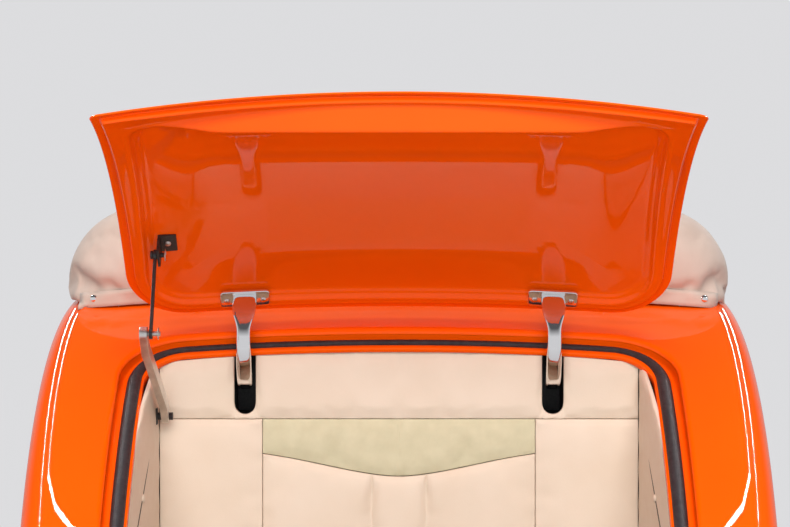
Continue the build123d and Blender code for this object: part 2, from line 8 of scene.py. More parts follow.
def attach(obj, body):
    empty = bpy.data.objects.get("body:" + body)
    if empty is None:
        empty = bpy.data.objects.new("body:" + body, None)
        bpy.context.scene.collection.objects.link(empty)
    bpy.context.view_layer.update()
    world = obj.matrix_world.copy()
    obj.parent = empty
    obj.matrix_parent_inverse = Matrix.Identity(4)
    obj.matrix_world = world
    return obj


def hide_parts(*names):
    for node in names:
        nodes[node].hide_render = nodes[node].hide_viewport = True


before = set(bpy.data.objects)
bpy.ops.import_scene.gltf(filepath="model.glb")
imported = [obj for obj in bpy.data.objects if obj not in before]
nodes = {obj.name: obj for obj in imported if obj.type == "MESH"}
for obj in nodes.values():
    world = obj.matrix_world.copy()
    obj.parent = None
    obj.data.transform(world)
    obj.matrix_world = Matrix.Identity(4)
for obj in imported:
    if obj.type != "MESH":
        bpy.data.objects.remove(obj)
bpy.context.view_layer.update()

# The view: straight from behind at lid height with a long lens, in a pale hall with a pale floor.
# Long thin lamps hang over the car and draw the narrow bright lines along its shoulders.
# Broad soft lamps, which no mirror shows, light the boot and the lid from behind and above.
scene = bpy.context.scene
scene.view_settings.view_transform = "Standard"
lens = bpy.data.cameras.new("photo_lens")
lens.lens = 108.5
lens.sensor_width = 36.0
lens.shift_x = -0.005
camera = bpy.data.objects.new("photo_camera", lens)
camera.location = (0.0, -3.8, 0.952)
camera.rotation_euler = (math.radians(88.4), 0.0, 0.0)
scene.collection.objects.link(camera)
scene.camera = camera


def colour_ramp(tree, value, start, low, end, high):
    """A colour that runs from low to high while a value goes from start to end."""
    ramp = tree.nodes.new("ShaderNodeValToRGB")
    for stop, position, colour in zip(ramp.color_ramp.elements, (start, end), (low, high)):
        stop.position = position
        stop.color = (*colour, 1.0)
    tree.links.new(value, ramp.inputs["Fac"])
    return ramp.outputs["Color"]


def shown_ray(tree):
    """1 for the rays that show a surface: from the camera, in a mirror or through glass."""
    rays = tree.nodes.new("ShaderNodeLightPath")
    shown = rays.outputs["Is Camera Ray"]
    for kind in ("Is Glossy Ray", "Is Transmission Ray"):
        either = tree.nodes.new("ShaderNodeMath")
        either.operation = "MAXIMUM"
        tree.links.new(shown, either.inputs[0])
        tree.links.new(rays.outputs[kind], either.inputs[1])
        shown = either.outputs[0]
    return shown


def finish_of(name, colour, roughness, metallic=0.0, more=()):
    """A node material with its constant values set, ready for the grain that each finish adds."""
    made = bpy.data.materials.new(name)
    made.use_nodes = True
    sockets = made.node_tree.nodes["Principled BSDF"].inputs
    plain = (("Base Color", (*colour, 1.0)), ("Roughness", roughness), ("Metallic", metallic))
    for socket, value in (*plain, *more):
        sockets[socket].default_value = value
    return made


PALE, DARK_CEILING = (0.72, 0.72, 0.735), (0.10, 0.10, 0.105)
DIM_LIGHT, TOP_LIGHT = (0.10, 0.10, 0.10), (0.52, 0.51, 0.50)
world = bpy.data.worlds.new("pale_hall")
scene.world = world
world.use_nodes = True
hall = world.node_tree
hall.nodes.clear()
out = hall.nodes.new("ShaderNodeOutputWorld")
towards = hall.nodes.new("ShaderNodeTexCoord")
split = hall.nodes.new("ShaderNodeSeparateXYZ")
seen = hall.nodes.new("ShaderNodeBackground")
light = hall.nodes.new("ShaderNodeBackground")
pick = hall.nodes.new("ShaderNodeMixShader")
height = split.outputs["Z"]
for source, target in (
    (towards.outputs["Generated"], split.inputs["Vector"]),
    (colour_ramp(hall, height, 0.16, PALE, 0.42, DARK_CEILING), seen.inputs["Color"]),
    (colour_ramp(hall, height, 0.05, DIM_LIGHT, 0.55, TOP_LIGHT), light.inputs["Color"]),
    (shown_ray(hall), pick.inputs["Fac"]),
    (light.outputs[0], pick.inputs[1]),
    (seen.outputs[0], pick.inputs[2]),
    (pick.outputs[0], out.inputs["Surface"]),
):
    hall.links.new(source, target)

bm = bmesh.new()
bmesh.ops.create_grid(bm, x_segments=1, y_segments=1, size=30.0)
floor_mesh = bpy.data.meshes.new("hall_floor")
bm.to_mesh(floor_mesh)
bm.free()
hall_floor = bpy.data.objects.new("hall_floor", floor_mesh)
scene.collection.objects.link(hall_floor)
floor_paint = finish_of("floor_paint", (0.40, 0.40, 0.41), 0.6)
floor_tree = floor_paint.node_tree
floor_shader = floor_tree.nodes["Principled BSDF"]
floor_place = floor_tree.nodes.new("ShaderNodeTexCoord")
floor_reach = floor_tree.nodes.new("ShaderNodeVectorMath")
floor_reach.operation = "LENGTH"
floor_fade = floor_tree.nodes.new("ShaderNodeMapRange")
floor_fade.inputs["From Min"].default_value = 0.9
floor_fade.inputs["From Max"].default_value = 3.2
floor_fade.inputs["To Min"].default_value = 0.55
floor_share = floor_tree.nodes.new("ShaderNodeMath")
floor_share.operation = "MULTIPLY"
floor_glow = floor_tree.nodes.new("ShaderNodeEmission")
floor_glow.inputs["Color"].default_value = (*PALE, 1.0)
floor_mix = floor_tree.nodes.new("ShaderNodeMixShader")
floor_out = floor_tree.nodes["Material Output"]
for source, target in (
    (floor_place.outputs["Object"], floor_reach.inputs[0]),
    (floor_reach.outputs["Value"], floor_fade.inputs["Value"]),
    (floor_fade.outputs["Result"], floor_share.inputs[0]),
    (shown_ray(floor_tree), floor_share.inputs[1]),
    (floor_share.outputs[0], floor_mix.inputs["Fac"]),
    (floor_shader.outputs[0], floor_mix.inputs[1]),
    (floor_glow.outputs[0], floor_mix.inputs[2]),
    (floor_mix.outputs[0], floor_out.inputs["Surface"]),
):
    floor_tree.links.new(source, target)
floor_mesh.materials.append(floor_paint)

for name, place, turn, size, watts in (
    ("ceiling_soft", (0.0, -1.2, 4.4), (-12.0, 0.0, 0.0), (4.0, 3.0), 60.0),
    ("rear_soft", (0.0, -4.2, 3.8), (53.0, 0.0, 0.0), (4.5, 1.6), 192.0),
    ("low_soft", (0.0, -4.8, 1.1), (90.0, 0.0, 0.0), (4.0, 1.4), 104.0),
    ("tube_left_near", (-1.7, 2.4, 2.8), (0.0, -30.0, 0.0), (0.030, 7.0), 56.0),
    ("tube_left_far", (-2.3, 2.4, 2.6), (0.0, -40.0, 0.0), (0.046, 7.0), 84.0),
    ("tube_right_near", (1.7, 2.4, 2.8), (0.0, 30.0, 0.0), (0.030, 7.0), 56.0),
    ("tube_right_far", (2.3, 2.4, 2.6), (0.0, 40.0, 0.0), (0.046, 7.0), 84.0),
    ("tube_ahead", (0.5, 5.0, 3.2), (-50.0, 0.0, 0.0), (3.4, 0.03), 10.0),
):
    lamp = bpy.data.lights.new(name, "AREA")
    lamp.shape = "RECTANGLE"
    lamp.size, lamp.size_y = size
    lamp.energy = watts
    holder = bpy.data.objects.new(name, lamp)
    holder.location = place
    holder.rotation_euler = [math.radians(angle) for angle in turn]
    holder.visible_glossy = "tube" in name
    holder.visible_diffuse = "soft" in name
    scene.collection.objects.link(holder)

# Floor rails, floor and bulkheads: pressed steel rails in satin black under a painted board floor.
# The boards are hidden behind the trim, and show only from the front and below.
def grain(made, scale, stretch=(1.0, 1.0, 1.0), detail=4.0, kind="ShaderNodeTexNoise"):
    """Noise or cells read from Object coordinates, stretched along the finish's own direction."""
    tree = made.node_tree
    place = tree.nodes.new("ShaderNodeTexCoord")
    turn = tree.nodes.new("ShaderNodeMapping")
    turn.inputs["Scale"].default_value = stretch
    cells = tree.nodes.new(kind)
    cells.inputs["Scale"].default_value = scale
    if kind == "ShaderNodeTexNoise":
        cells.inputs["Detail"].default_value = detail
    tree.links.new(place.outputs["Object"], turn.inputs["Vector"])
    tree.links.new(turn.outputs["Vector"], cells.inputs["Vector"])
    return cells.outputs["Fac"] if kind == "ShaderNodeTexNoise" else cells.outputs["Distance"]


def tint(made, value, low, high, start=0.3, end=0.7, socket="Base Color"):
    """Spreads a value over a colour ramp or a range of roughness into one shader socket."""
    tree = made.node_tree
    shader = tree.nodes["Principled BSDF"]
    if socket == "Base Color":
        result = colour_ramp(tree, value, start, low, end, high)
    else:
        spread = tree.nodes.new("ShaderNodeMapRange")
        ends = (("From Min", start), ("From Max", end), ("To Min", low), ("To Max", high))
        for side, amount in ends:
            spread.inputs[side].default_value = amount
        tree.links.new(value, spread.inputs["Value"])
        result = spread.outputs["Result"]
    tree.links.new(result, shader.inputs[socket])


def relief(made, value, strength, distance):
    """Bump from a value, chained after any bump that is already there."""
    tree = made.node_tree
    shader = tree.nodes["Principled BSDF"]
    bump = tree.nodes.new("ShaderNodeBump")
    bump.inputs["Strength"].default_value = strength
    bump.inputs["Distance"].default_value = distance
    if shader.inputs["Normal"].is_linked:
        tree.links.new(shader.inputs["Normal"].links[0].from_socket, bump.inputs["Normal"])
    tree.links.new(value, bump.inputs["Height"])
    tree.links.new(bump.outputs["Normal"], shader.inputs["Normal"])


def dress(node, made):
    """Gives a CAD node a finish."""
    piece = nodes[node]
    piece.data.materials.clear()
    piece.data.materials.append(made)


black_steel = finish_of("satin_black_steel", (0.014, 0.014, 0.015), 0.42)
tint(black_steel, grain(black_steel, 260.0), (0.010, 0.010, 0.011), (0.024, 0.024, 0.025))
relief(black_steel, grain(black_steel, 700.0), 0.12, 0.0004)
for node in ("floor_rail_left", "floor_rail_right", "hinge_pocket_left", "hinge_pocket_right"):
    dress(node, black_steel)
board_paint = finish_of("painted_board", (0.03, 0.028, 0.027), 0.6)
tint(
    board_paint, grain(board_paint, 18.0, (1.0, 1.0, 14.0)),
    (0.022, 0.02, 0.019), (0.05, 0.046, 0.043))
relief(board_paint, grain(board_paint, 60.0, (1.0, 1.0, 10.0)), 0.25, 0.0008)
for node in ("boot_floor", "seat_bulkhead", "boot_bulkhead"):
    dress(node, board_paint)

# Body skin: sheet steel beaten to one sweep over deck and tail, round in plan, with tight shoulders.
# It is welded from four panels, filled flush and sprayed in orange gloss under a clear coat.
AXIS_Y, AXIS_Z, SWEEP, SWING = 0.290717, -0.058739, 0.850, 1.568
MAJOR = SWING - AXIS_Y
DRAW = math.radians(30.0)
MID_Y, MID_Z = -0.266933, 0.582764
LID_HALF, LID_FRONT, LID_REAR = 0.438, 0.309786, -0.288245
FRONT_ROUND, REAR_ROUND, LEAST_ROUND = 0.100, 0.020, 0.006
SEARCH_LOW, SEARCH_HIGH, SEARCH_STEPS = -0.65, 0.30, 46


def on_body(x, run, depth):
    """Point under the deck, lid or tail surface at a place drawn in the lid plane."""
    py = MID_Y + run * math.cos(DRAW)
    pz = MID_Z + run * math.sin(DRAW)
    low, high = SEARCH_LOW, SEARCH_HIGH
    for _ in range(SEARCH_STEPS):
        up = (low + high) / 2
        y = py - up * math.sin(DRAW)
        z = pz + up * math.cos(DRAW)
        if math.hypot(math.hypot(x, SWING - y) - MAJOR, z - AXIS_Z) < SWEEP - depth:
            low = up
        else:
            high = up
    return Vector((x, y, z))


def body_height(x, y, depth=0.0):
    """Height of the body's surface, or of a depth below it, over a place on the car."""
    reach = math.hypot(x, SWING - y) - MAJOR
    return AXIS_Z + math.sqrt(max((SWEEP - depth) ** 2 - reach ** 2, 0.0))


COUNTS = (80, 16, 66, 10, 80, 10, 66, 16)


def lid_loop(half, front, rear, front_round, rear_round):
    """Closed outline in the lid plane, with the same number of points whatever its size."""
    corners = (
        (half - front_round, front - front_round, front_round, 90.0),
        (half - rear_round, rear + rear_round, rear_round, 0.0),
        (rear_round - half, rear + rear_round, rear_round, -90.0),
        (front_round - half, front - front_round, front_round, 180.0),
    )

    def on_corner(corner, turned):
        """Point on a corner's arc, after so many degrees of its turn."""
        x, v, radius, start = corner
        a = math.radians(start - turned)
        return x + radius * math.cos(a), v + radius * math.sin(a)

    points = []
    for side, corner in enumerate(corners):
        (x0, v0), (x1, v1) = on_corner(corners[side - 1], 90.0), on_corner(corner, 0.0)
        count = COUNTS[2 * side]
        points += [(x0 + (x1 - x0) * i / count, v0 + (v1 - v0) * i / count) for i in range(count)]
        count = COUNTS[2 * side + 1]
        points += [on_corner(corner, 90.0 * i / count) for i in range(count)]
    return points


def opening(inset, hinge_edge=None):
    """The boot opening's outline moved inward, by its own amount at the hinge edge."""
    at_hinge = inset if hinge_edge is None else hinge_edge
    front_round = max(FRONT_ROUND - inset, LEAST_ROUND)
    rear_round = max(REAR_ROUND - inset, LEAST_ROUND)
    return lid_loop(LID_HALF - inset, LID_FRONT - at_hinge, LID_REAR + inset, front_round, rear_round)


def rings_to_mesh(rings):
    """A skin grown from ring to ring by extruding its edge, and the last ring's corners."""
    bm = bmesh.new()
    count = len(rings[0])
    ring = bmesh.ops.create_circle(bm, segments=count, radius=1.0)["verts"]
    for vert, point in zip(ring, rings[0]):
        vert.co = point
    for points in rings[1:]:
        edges = [bm.edges.get((ring[i - 1], ring[i])) for i in range(count)]
        grown = bmesh.ops.extrude_edge_only(bm, edges=edges)["geom"]
        fresh = {part for part in grown if isinstance(part, bmesh.types.BMVert)}
        ring = [next(e.other_vert(v) for e in v.link_edges if e.other_vert(v) in fresh) for v in ring]
        for vert, point in zip(ring, points):
            vert.co = point
    return bm, ring


def add_piece(name, bm, made, body, smooth=True):
    """Puts a finished mesh into the scene on the body that it moves with."""
    mesh = bpy.data.meshes.new(name)
    bm.to_mesh(mesh)
    bm.free()
    for face in mesh.polygons:
        face.use_smooth = smooth
    mesh.materials.append(made)
    piece = bpy.data.objects.new(name, mesh)
    scene.collection.objects.link(piece)
    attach(piece, body)
    return piece


def face_outward(bm, inside):
    """Turns an open skin so that it looks away from a point inside it."""
    bm.faces.ensure_lookup_table()
    bm.normal_update()
    away = sum(
        (f.calc_center_median() - Vector(inside)).dot(f.normal) * f.calc_area() for f in bm.faces)
    if away < 0:
        bmesh.ops.reverse_faces(bm, faces=bm.faces)


paint = finish_of("orange_gloss", (0.96, 0.099, 0.001), 0.5, more=(
    ("Specular IOR Level", 0.0), ("Coat Weight", 0.6), ("Coat Roughness", 0.012), ("Coat IOR", 1.45)))
tint(paint, grain(paint, 3.0, detail=2.0), (0.94, 0.092, 0.001), (0.98, 0.106, 0.0015))
relief(paint, grain(paint, 140.0, detail=1.0), 0.015, 0.0003)

EDGE_ROLL = 0.010
SIDE_START = 0.463
HALF, HALF_AT, DRAFT, SHOULDER = 0.576, 0.74, math.radians(-2.0), 0.052
FRONT_CUT, SILL, SPARE = 0.46, 0.04, 0.02
DECK_STEPS, ROUND_STEPS, DROP_STEPS = 4, 16, 8
rings = []
for step in range(7):
    a = math.radians(90.0 * step / 6)
    spread = EDGE_ROLL * (1 - math.cos(a))
    depth = EDGE_ROLL * (1 - math.sin(a))
    rings.append([on_body(x, v, depth) for x, v in opening(-spread)])
inner_flat = opening(-0.016)
outer_flat = lid_loop(SIDE_START, 0.76, -0.55, 1e-5, 1e-5)
for share in (
    0.0, 0.02, 0.05, 0.09, 0.14, 0.2, 0.26, 0.32, 0.38, 0.44,
    0.5, 0.56, 0.62, 0.68, 0.74, 0.8, 0.86, 0.92, 0.96, 1.0,
):
    flat = [
        (a[0] + (b[0] - a[0]) * share, a[1] + (b[1] - a[1]) * share)
        for a, b in zip(inner_flat, outer_flat)]
    rings.append([on_body(x, v, 0.0) for x, v in flat])
bm, _ = rings_to_mesh(rings)
bmesh.ops.remove_doubles(bm, verts=bm.verts, dist=0.0001)


def over_shoulder(side, start, across):
    """Point on a level line from the deck's edge over the shoulder, then straight down the side."""
    reach = math.hypot(start.x, SWING - start.y)
    theta = math.atan2(reach - MAJOR, start.z - AXIS_Z)
    centre_z = AXIS_Z + (SWEEP - SHOULDER) * math.cos(theta)
    centre_x = HALF - SHOULDER / math.cos(DRAFT) - (centre_z - HALF_AT) * math.tan(DRAFT)
    hub = MAJOR + (SWEEP - SHOULDER) * math.sin(theta)
    round_at = math.asin(centre_x / hub)
    lean = math.sin(theta)
    outward = Vector((lean * math.sin(round_at), -lean * math.cos(round_at), math.cos(theta)))
    centre = Vector((centre_x, SWING - hub * math.cos(round_at), centre_z))
    sideways = Vector((math.cos(DRAFT), 0.0, math.sin(DRAFT)))
    if across <= DECK_STEPS:
        from_at = math.asin(SIDE_START / reach)
        at = from_at + (round_at - from_at) * across / DECK_STEPS
        point = Vector((reach * math.sin(at), SWING - reach * math.cos(at), start.z))
    elif across <= DECK_STEPS + ROUND_STEPS:
        turn = outward.angle(sideways) * (across - DECK_STEPS) / ROUND_STEPS
        hinge = outward.cross(sideways).normalized()
        point = centre + SHOULDER * (Matrix.Rotation(turn, 3, hinge) @ outward)
    else:
        end = centre + SHOULDER * sideways
        drop = (across - DECK_STEPS - ROUND_STEPS) / DROP_STEPS
        z = end.z + (min(SILL, end.z) - SPARE - end.z) * drop
        point = Vector((HALF - (z - HALF_AT) * math.tan(DRAFT), end.y, z))
    return Vector((side * point.x, point.y, point.z))


for side in (-1, 1):
    line = [v for v in bm.verts if abs(v.co.x - side * SIDE_START) < 1e-6]
    starts = {v: Vector((abs(v.co.x), v.co.y, v.co.z)) for v in line}
    edges = [e for e in bm.edges if e.verts[0] in starts and e.verts[1] in starts]
    for across in range(1, DECK_STEPS + ROUND_STEPS + DROP_STEPS + 1):
        grown = bmesh.ops.extrude_edge_only(bm, edges=edges)["geom"]
        fresh = {part for part in grown if isinstance(part, bmesh.types.BMVert)}
        edges = [part for part in grown if isinstance(part, bmesh.types.BMEdge)]
        edges = [e for e in edges if e.verts[0] in fresh and e.verts[1] in fresh]
        moved = {}
        for vert, start in starts.items():
            for e in vert.link_edges:
                if e.other_vert(vert) in fresh:
                    moved[e.other_vert(vert)] = start
        starts = moved
        for vert, start in starts.items():
            vert.co = over_shoulder(side, start, across)
cuts = (((0.0, FRONT_CUT, 0.0), (0.0, 1.0, 0.0)), ((0.0, 0.0, SILL), (0.0, 0.0, -1.0)))
for place, away in cuts:
    skin = bm.verts[:] + bm.edges[:] + bm.faces[:]
    bmesh.ops.bisect_plane(bm, geom=skin, dist=1e-6, plane_co=place, plane_no=away, clear_outer=True)
face_outward(bm, (0.0, 0.2, 0.3))
body_skin = add_piece("body_skin", bm, paint, "tail")
sheet_steel = body_skin.modifiers.new("sheet_steel", "SOLIDIFY")
sheet_steel.thickness = 0.004
sheet_steel.offset = -1.0
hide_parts("deck_panel", "tail_panel", "quarter_panel_left", "quarter_panel_right")

# Gutter: a folded channel welded inside the opening, with a ledge for the seal and a turned-down lip.
# It is painted with the body, and rain runs off along it.
def ease(value, start, end):
    """Smooth step from 0 at start to 1 at end."""
    t = min(max((value - start) / (end - start), 0.0), 1.0)
    return t * t * (3 - 2 * t)


def at_front(run):
    """How far a place along the lid counts as its hinge edge, from 0 to 1."""
    return ease(run, LID_FRONT - 0.085, LID_FRONT - 0.010)


rings = []
for inset, depth, front_inset, front_depth in (
    (0.0, 0.0096, 0.0, 0.0096), (0.0, 0.0135, 0.0, 0.0115),
    (0.0, 0.018, 0.0, 0.014), (0.0, 0.024, 0.0, 0.0185),
    (0.0012, 0.0268, 0.0012, 0.021), (0.004, 0.028, 0.004, 0.022), (0.012, 0.028, 0.009, 0.022),
    (0.022, 0.028, 0.015, 0.022), (0.0325, 0.028, 0.0205, 0.022), (0.0352, 0.0288, 0.0232, 0.0226),
    (0.036, 0.031, 0.024, 0.0245), (0.036, 0.036, 0.024, 0.027), (0.036, 0.0425, 0.024, 0.0295),
    (0.035, 0.043, 0.023, 0.030), (0.0335, 0.0425, 0.0215, 0.0295), (0.033, 0.036, 0.021, 0.026),
):
    loop = opening(inset, front_inset)
    rings.append([on_body(x, v, depth + (front_depth - depth) * at_front(v)) for x, v in loop])
bm, _ = rings_to_mesh(rings)
bmesh.ops.reverse_faces(bm, faces=bm.faces)
gutter = add_piece("painted_gutter", bm, paint, "tail")
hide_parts("opening_gutter")

# Seal: a hollow bulb of black rubber pushed onto the ledge all round the opening.
# Its skin is matt with fine lines along its length from the die.
rubber = finish_of("black_rubber", (0.021, 0.018, 0.02), 0.5)
tint(rubber, grain(rubber, 120.0), (0.016, 0.014, 0.016), (0.034, 0.029, 0.032))
tint(rubber, grain(rubber, 420.0), 0.42, 0.62, socket="Roughness")
relief(rubber, grain(rubber, 900.0), 0.2, 0.0003)
SEAL_WIDTH, SEAL_HEIGHT, SEAL_FOOT = 0.022, 0.0092, 0.0278
rings = []
for step in range(15):
    a = math.radians(180.0 * step / 14)
    across = SEAL_WIDTH * (0.5 - 0.5 * math.cos(a))
    foot = SEAL_FOOT - SEAL_HEIGHT * math.sin(a) ** 0.7
    raised = 0.006 - 0.002 * math.sin(a)
    loop = opening(0.010 + across, 0.004 + across * 0.5)
    rings.append([on_body(x, v, foot - raised * at_front(v)) for x, v in loop])
bm, _ = rings_to_mesh(rings)
face_outward(bm, (0.0, -0.2, 0.3))
seal = add_piece("bulb_seal", bm, rubber, "tail")
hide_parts("boot_seal")

# Hinge pins: short turned pins pressed through the pocket walls, one for each gooseneck arm.
# They are plain bright steel, and the arms' eyes turn on them.
bright_steel = finish_of("brushed_steel", (0.74, 0.73, 0.71), 0.38, 1.0)
tint(bright_steel, grain(bright_steel, 90.0, (1.0, 1.0, 0.06)), (0.66, 0.65, 0.63), (0.82, 0.81, 0.79))
tint(bright_steel, grain(bright_steel, 240.0, (1.0, 1.0, 0.05)), 0.3, 0.5, socket="Roughness")
for node in ("hinge_pin_left", "hinge_pin_right"):
    dress(node, bright_steel)

# Front trim: cream leather over thin padding on boards, pulled down at the edges and tacked behind.
# The upper board has a slot for each hinge arm, and below it are three pads, the middle one sewn in channels.
leather = finish_of(
    "cream_leather", (0.72, 0.60, 0.475), 0.42, more=(("Specular IOR Level", 0.35),))
tint(leather, grain(leather, 9.0, detail=6.0), (0.70, 0.575, 0.45), (0.745, 0.625, 0.505))
relief(leather, grain(leather, 420.0, kind="ShaderNodeTexVoronoi"), 0.18, 0.0004)
relief(leather, grain(leather, 1100.0), 0.10, 0.0003)
tint(leather, grain(leather, 60.0), 0.38, 0.52, socket="Roughness")

TRIM_FACE, TRIM_HALF, SEAM = -0.004, 0.3826, 0.597
PAD_PUFF, PAD_THICK, PAD_SWELL, PAD_ROUND, STITCH_SINK = 0.003, 0.0095, 0.0040, 0.011, 0.0026
CROWD = (0.0012, 0.0035, 0.007, 0.012)


def spaced(low, high, step, crowd=CROWD):
    """Grid lines from one edge to the other, crowded towards both."""
    span = high - low - 2 * crowd[-1]
    count = max(1, round(span / step))
    middle = [low + crowd[-1] + span * i / count for i in range(1, count)]
    return [low] + [low + c for c in crowd] + middle + [high - c for c in reversed(crowd)] + [high]


def swell(
        piece, held, limit, push=4.0, frames=18, mass=0.25, stiff=12.0, bend=0.6, shrink=-0.012, weight=0.0):
    """Blows padding up under its cover with Cloth, with the held points fixed, and keeps the result."""
    start = [v.co.copy() for v in piece.data.vertices]
    group = piece.vertex_groups.new(name="held")
    group.add(held, 1.0, "REPLACE")
    cloth = piece.modifiers.new("padding", "CLOTH")
    settings = cloth.settings
    settings.quality = 6
    settings.mass = mass
    settings.tension_stiffness = settings.compression_stiffness = stiff
    settings.bending_stiffness = bend
    settings.shrink_min = shrink
    settings.use_pressure = True
    settings.uniform_pressure_force = push
    settings.vertex_group_mass = "held"
    settings.effector_weights.gravity = weight
    cloth.point_cache.frame_start = 1
    cloth.point_cache.frame_end = frames
    for moment in range(1, frames + 1):
        scene.frame_set(moment)
    shaped = piece.evaluated_get(bpy.context.evaluated_depsgraph_get()).data
    ends = [v.co.copy() for v in shaped.vertices]
    piece.modifiers.remove(cloth)
    piece.vertex_groups.remove(group)
    for vert, begin, end in zip(piece.data.vertices, start, ends):
        step = end - begin
        if step.length > limit:
            step = step.normalized() * limit
        vert.co = begin + step
    scene.frame_set(1)


def sewn_pad(name, across, up, place, gap, puff, thick, made, limit, keep=None, creases=()):
    """A padded panel drawn on a grid: its edge dips to the seams, and a flat back lies on the board."""
    bm = bmesh.new()
    grid = bmesh.ops.create_grid(bm, x_segments=len(across) - 1, y_segments=len(up) - 1, size=1.0)["verts"]
    columns = sorted({round(v.co.x, 5) for v in grid})
    rows = sorted({round(v.co.y, 5) for v in grid})
    spots = {v: (across[columns.index(round(v.co.x, 5))], up[rows.index(round(v.co.y, 5))]) for v in grid}
    if keep:
        middles = {f: [sum(spots[v][i] for v in f.verts) / 4 for i in (0, 1)] for f in bm.faces}
        cut = [f for f, (u, w) in middles.items() if not keep(u, w)]
        bmesh.ops.delete(bm, geom=cut, context="FACES")
    spots = {v: spots[v] for v in bm.verts}
    flat = {v: place(*spots[v]) for v in bm.verts}
    for vert, (point, outward) in flat.items():
        vert.co = point
    edge = {v for v in bm.verts if v.is_boundary}
    sewn = {v for v in bm.verts if any(abs(spots[v][0] - c) < 1e-6 for c in creases)}
    keys = {tuple(round(c, 6) for c in point): outward for point, outward in flat.values()}
    grown = bmesh.ops.extrude_face_region(bm, geom=bm.faces[:], use_keep_orig=True)["geom"]
    behind = [g for g in grown if isinstance(g, bmesh.types.BMVert)]
    backs = set(behind)
    for vert in behind:
        vert.co = vert.co - keys[tuple(round(c, 6) for c in vert.co)] * thick
    for vert, (point, outward) in flat.items():
        near = gap(*spots[vert])
        for crease in creases:
            near = min(near, abs(spots[vert][0] - crease) + 0.0001)
        lift_share = math.sqrt(max(1 - (1 - min(near / PAD_ROUND, 1.0)) ** 2, 0.0))
        stitch = STITCH_SINK if vert in sewn else 0.0
        vert.co = point - outward * (puff * (1 - lift_share) + stitch)
    bmesh.ops.recalc_face_normals(bm, faces=bm.faces)
    bm.verts.index_update()
    held = [v.index for v in bm.verts if v in edge or v in sewn or v in backs]
    piece = add_piece(name, bm, made, "tail")
    swell(piece, held, limit)
    soften = piece.modifiers.new("soften", "SUBSURF")
    soften.levels = soften.render_levels = 1
    return piece


def upright(u, w):
    """A place on the front trim's face, and the way it looks."""
    return Vector((u, TRIM_FACE, w)), Vector((0.0, -1.0, 0.0))


SLOT_MID, SLOT_HALF, SLOT_X = 0.622, 0.017, 0.246
TRIM_TOP, BOARD_LOW, LIP_DEPTH = 0.640, SEAM + 0.0004, 0.030


def under_gutter(u, depth):
    """Height of the body's underside over the front trim."""
    return body_height(u, TRIM_FACE, depth)


def slot_gap(u, w):
    """Distance from the nearer hinge slot."""
    sideways = abs(abs(u) - SLOT_X)
    return max(math.hypot(sideways, max(SLOT_MID - w, 0.0)) - SLOT_HALF, 0.0)


def board_height(u, w):
    """Carries grid rows up to the gutter, and down round the ends of the slots."""
    sideways = abs(abs(u) - SLOT_X)
    if w > SLOT_MID:
        return SLOT_MID + (under_gutter(u, LIP_DEPTH) - SLOT_MID) * (w - SLOT_MID) / (TRIM_TOP - SLOT_MID)
    if sideways < SLOT_HALF:
        end = SLOT_MID - math.sqrt(SLOT_HALF ** 2 - sideways ** 2)
        return BOARD_LOW + (end - BOARD_LOW) * (w - BOARD_LOW) / (SLOT_MID - BOARD_LOW)
    return w


def upper_place(u, w):
    """A place on the slotted upper board."""
    return upright(u, board_height(u, w))


def upper_gap(u, w):
    """Distance from the upper board's nearest edge."""
    z = board_height(u, w)
    return min(z - BOARD_LOW, under_gutter(u, LIP_DEPTH) - z, slot_gap(u, z))


COARSE, FINE = 0.012, 0.004
across = spaced(-TRIM_HALF, -SLOT_X - SLOT_HALF, COARSE)
for low, high, step in (
    (-SLOT_X - SLOT_HALF, -SLOT_X + SLOT_HALF, FINE), (-SLOT_X + SLOT_HALF, SLOT_X - SLOT_HALF, COARSE),
    (SLOT_X - SLOT_HALF, SLOT_X + SLOT_HALF, FINE), (SLOT_X + SLOT_HALF, TRIM_HALF, COARSE),
):
    across += spaced(low, high, step, CROWD[:3] if step == FINE else CROWD)[1:]
up = [BOARD_LOW + c for c in (0.0, 0.0012, 0.0035, 0.007, 0.0115, 0.0165, 0.0205)] + [SLOT_MID]
up += [SLOT_MID + 0.018 * (i / 9) for i in range(1, 9)] + [TRIM_TOP - 0.0008, TRIM_TOP - 0.0002, TRIM_TOP]
upper_board = sewn_pad(
    "slotted_board", across, up, upper_place, upper_gap, PAD_PUFF, PAD_THICK, leather, 0.003,
    keep=lambda u, w: abs(abs(u) - SLOT_X) > SLOT_HALF or w < SLOT_MID)
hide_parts("trim_front_upper")

PAD_LOW, PAD_HALF, PAD_GAP = 0.0606, 0.218, 0.0003
for name, low, high in (("left", -TRIM_HALF, -PAD_HALF - PAD_GAP), ("right", PAD_HALF + PAD_GAP, TRIM_HALF)):
    pad = sewn_pad(
        "front_pad_" + name, spaced(low, high, COARSE), spaced(PAD_LOW, SEAM, 0.014), upright,
        lambda u, w: min(abs(abs(u) - PAD_HALF), w - PAD_LOW, SEAM - w),
        PAD_PUFF, PAD_THICK, leather, PAD_SWELL)
    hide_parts("trim_pad_" + name)

INSERT_SIDE, INSERT_MID, INSERT_GAP, INSERT_SINK = 0.542, 0.5055, 0.0008, 0.0012
INSERT_ROUND, INSERT_BELL = 0.3, 0.35


def insert_edge(u):
    """Height of the insert's lower edge: two slanted runs that meet in a round dip on the centreline."""
    share = abs(u) / PAD_HALF
    slope = share * share * (1 + INSERT_ROUND) / (share + INSERT_ROUND)
    bell = (1 - math.cos(math.pi * share)) / 2
    return INSERT_MID + (INSERT_SIDE - INSERT_MID) * (slope + (bell - slope) * INSERT_BELL)


def below_insert(u, w):
    """A place on the middle pad, whose top follows the insert."""
    top = insert_edge(u) - INSERT_GAP
    return upright(u, PAD_LOW + (top - PAD_LOW) * w)


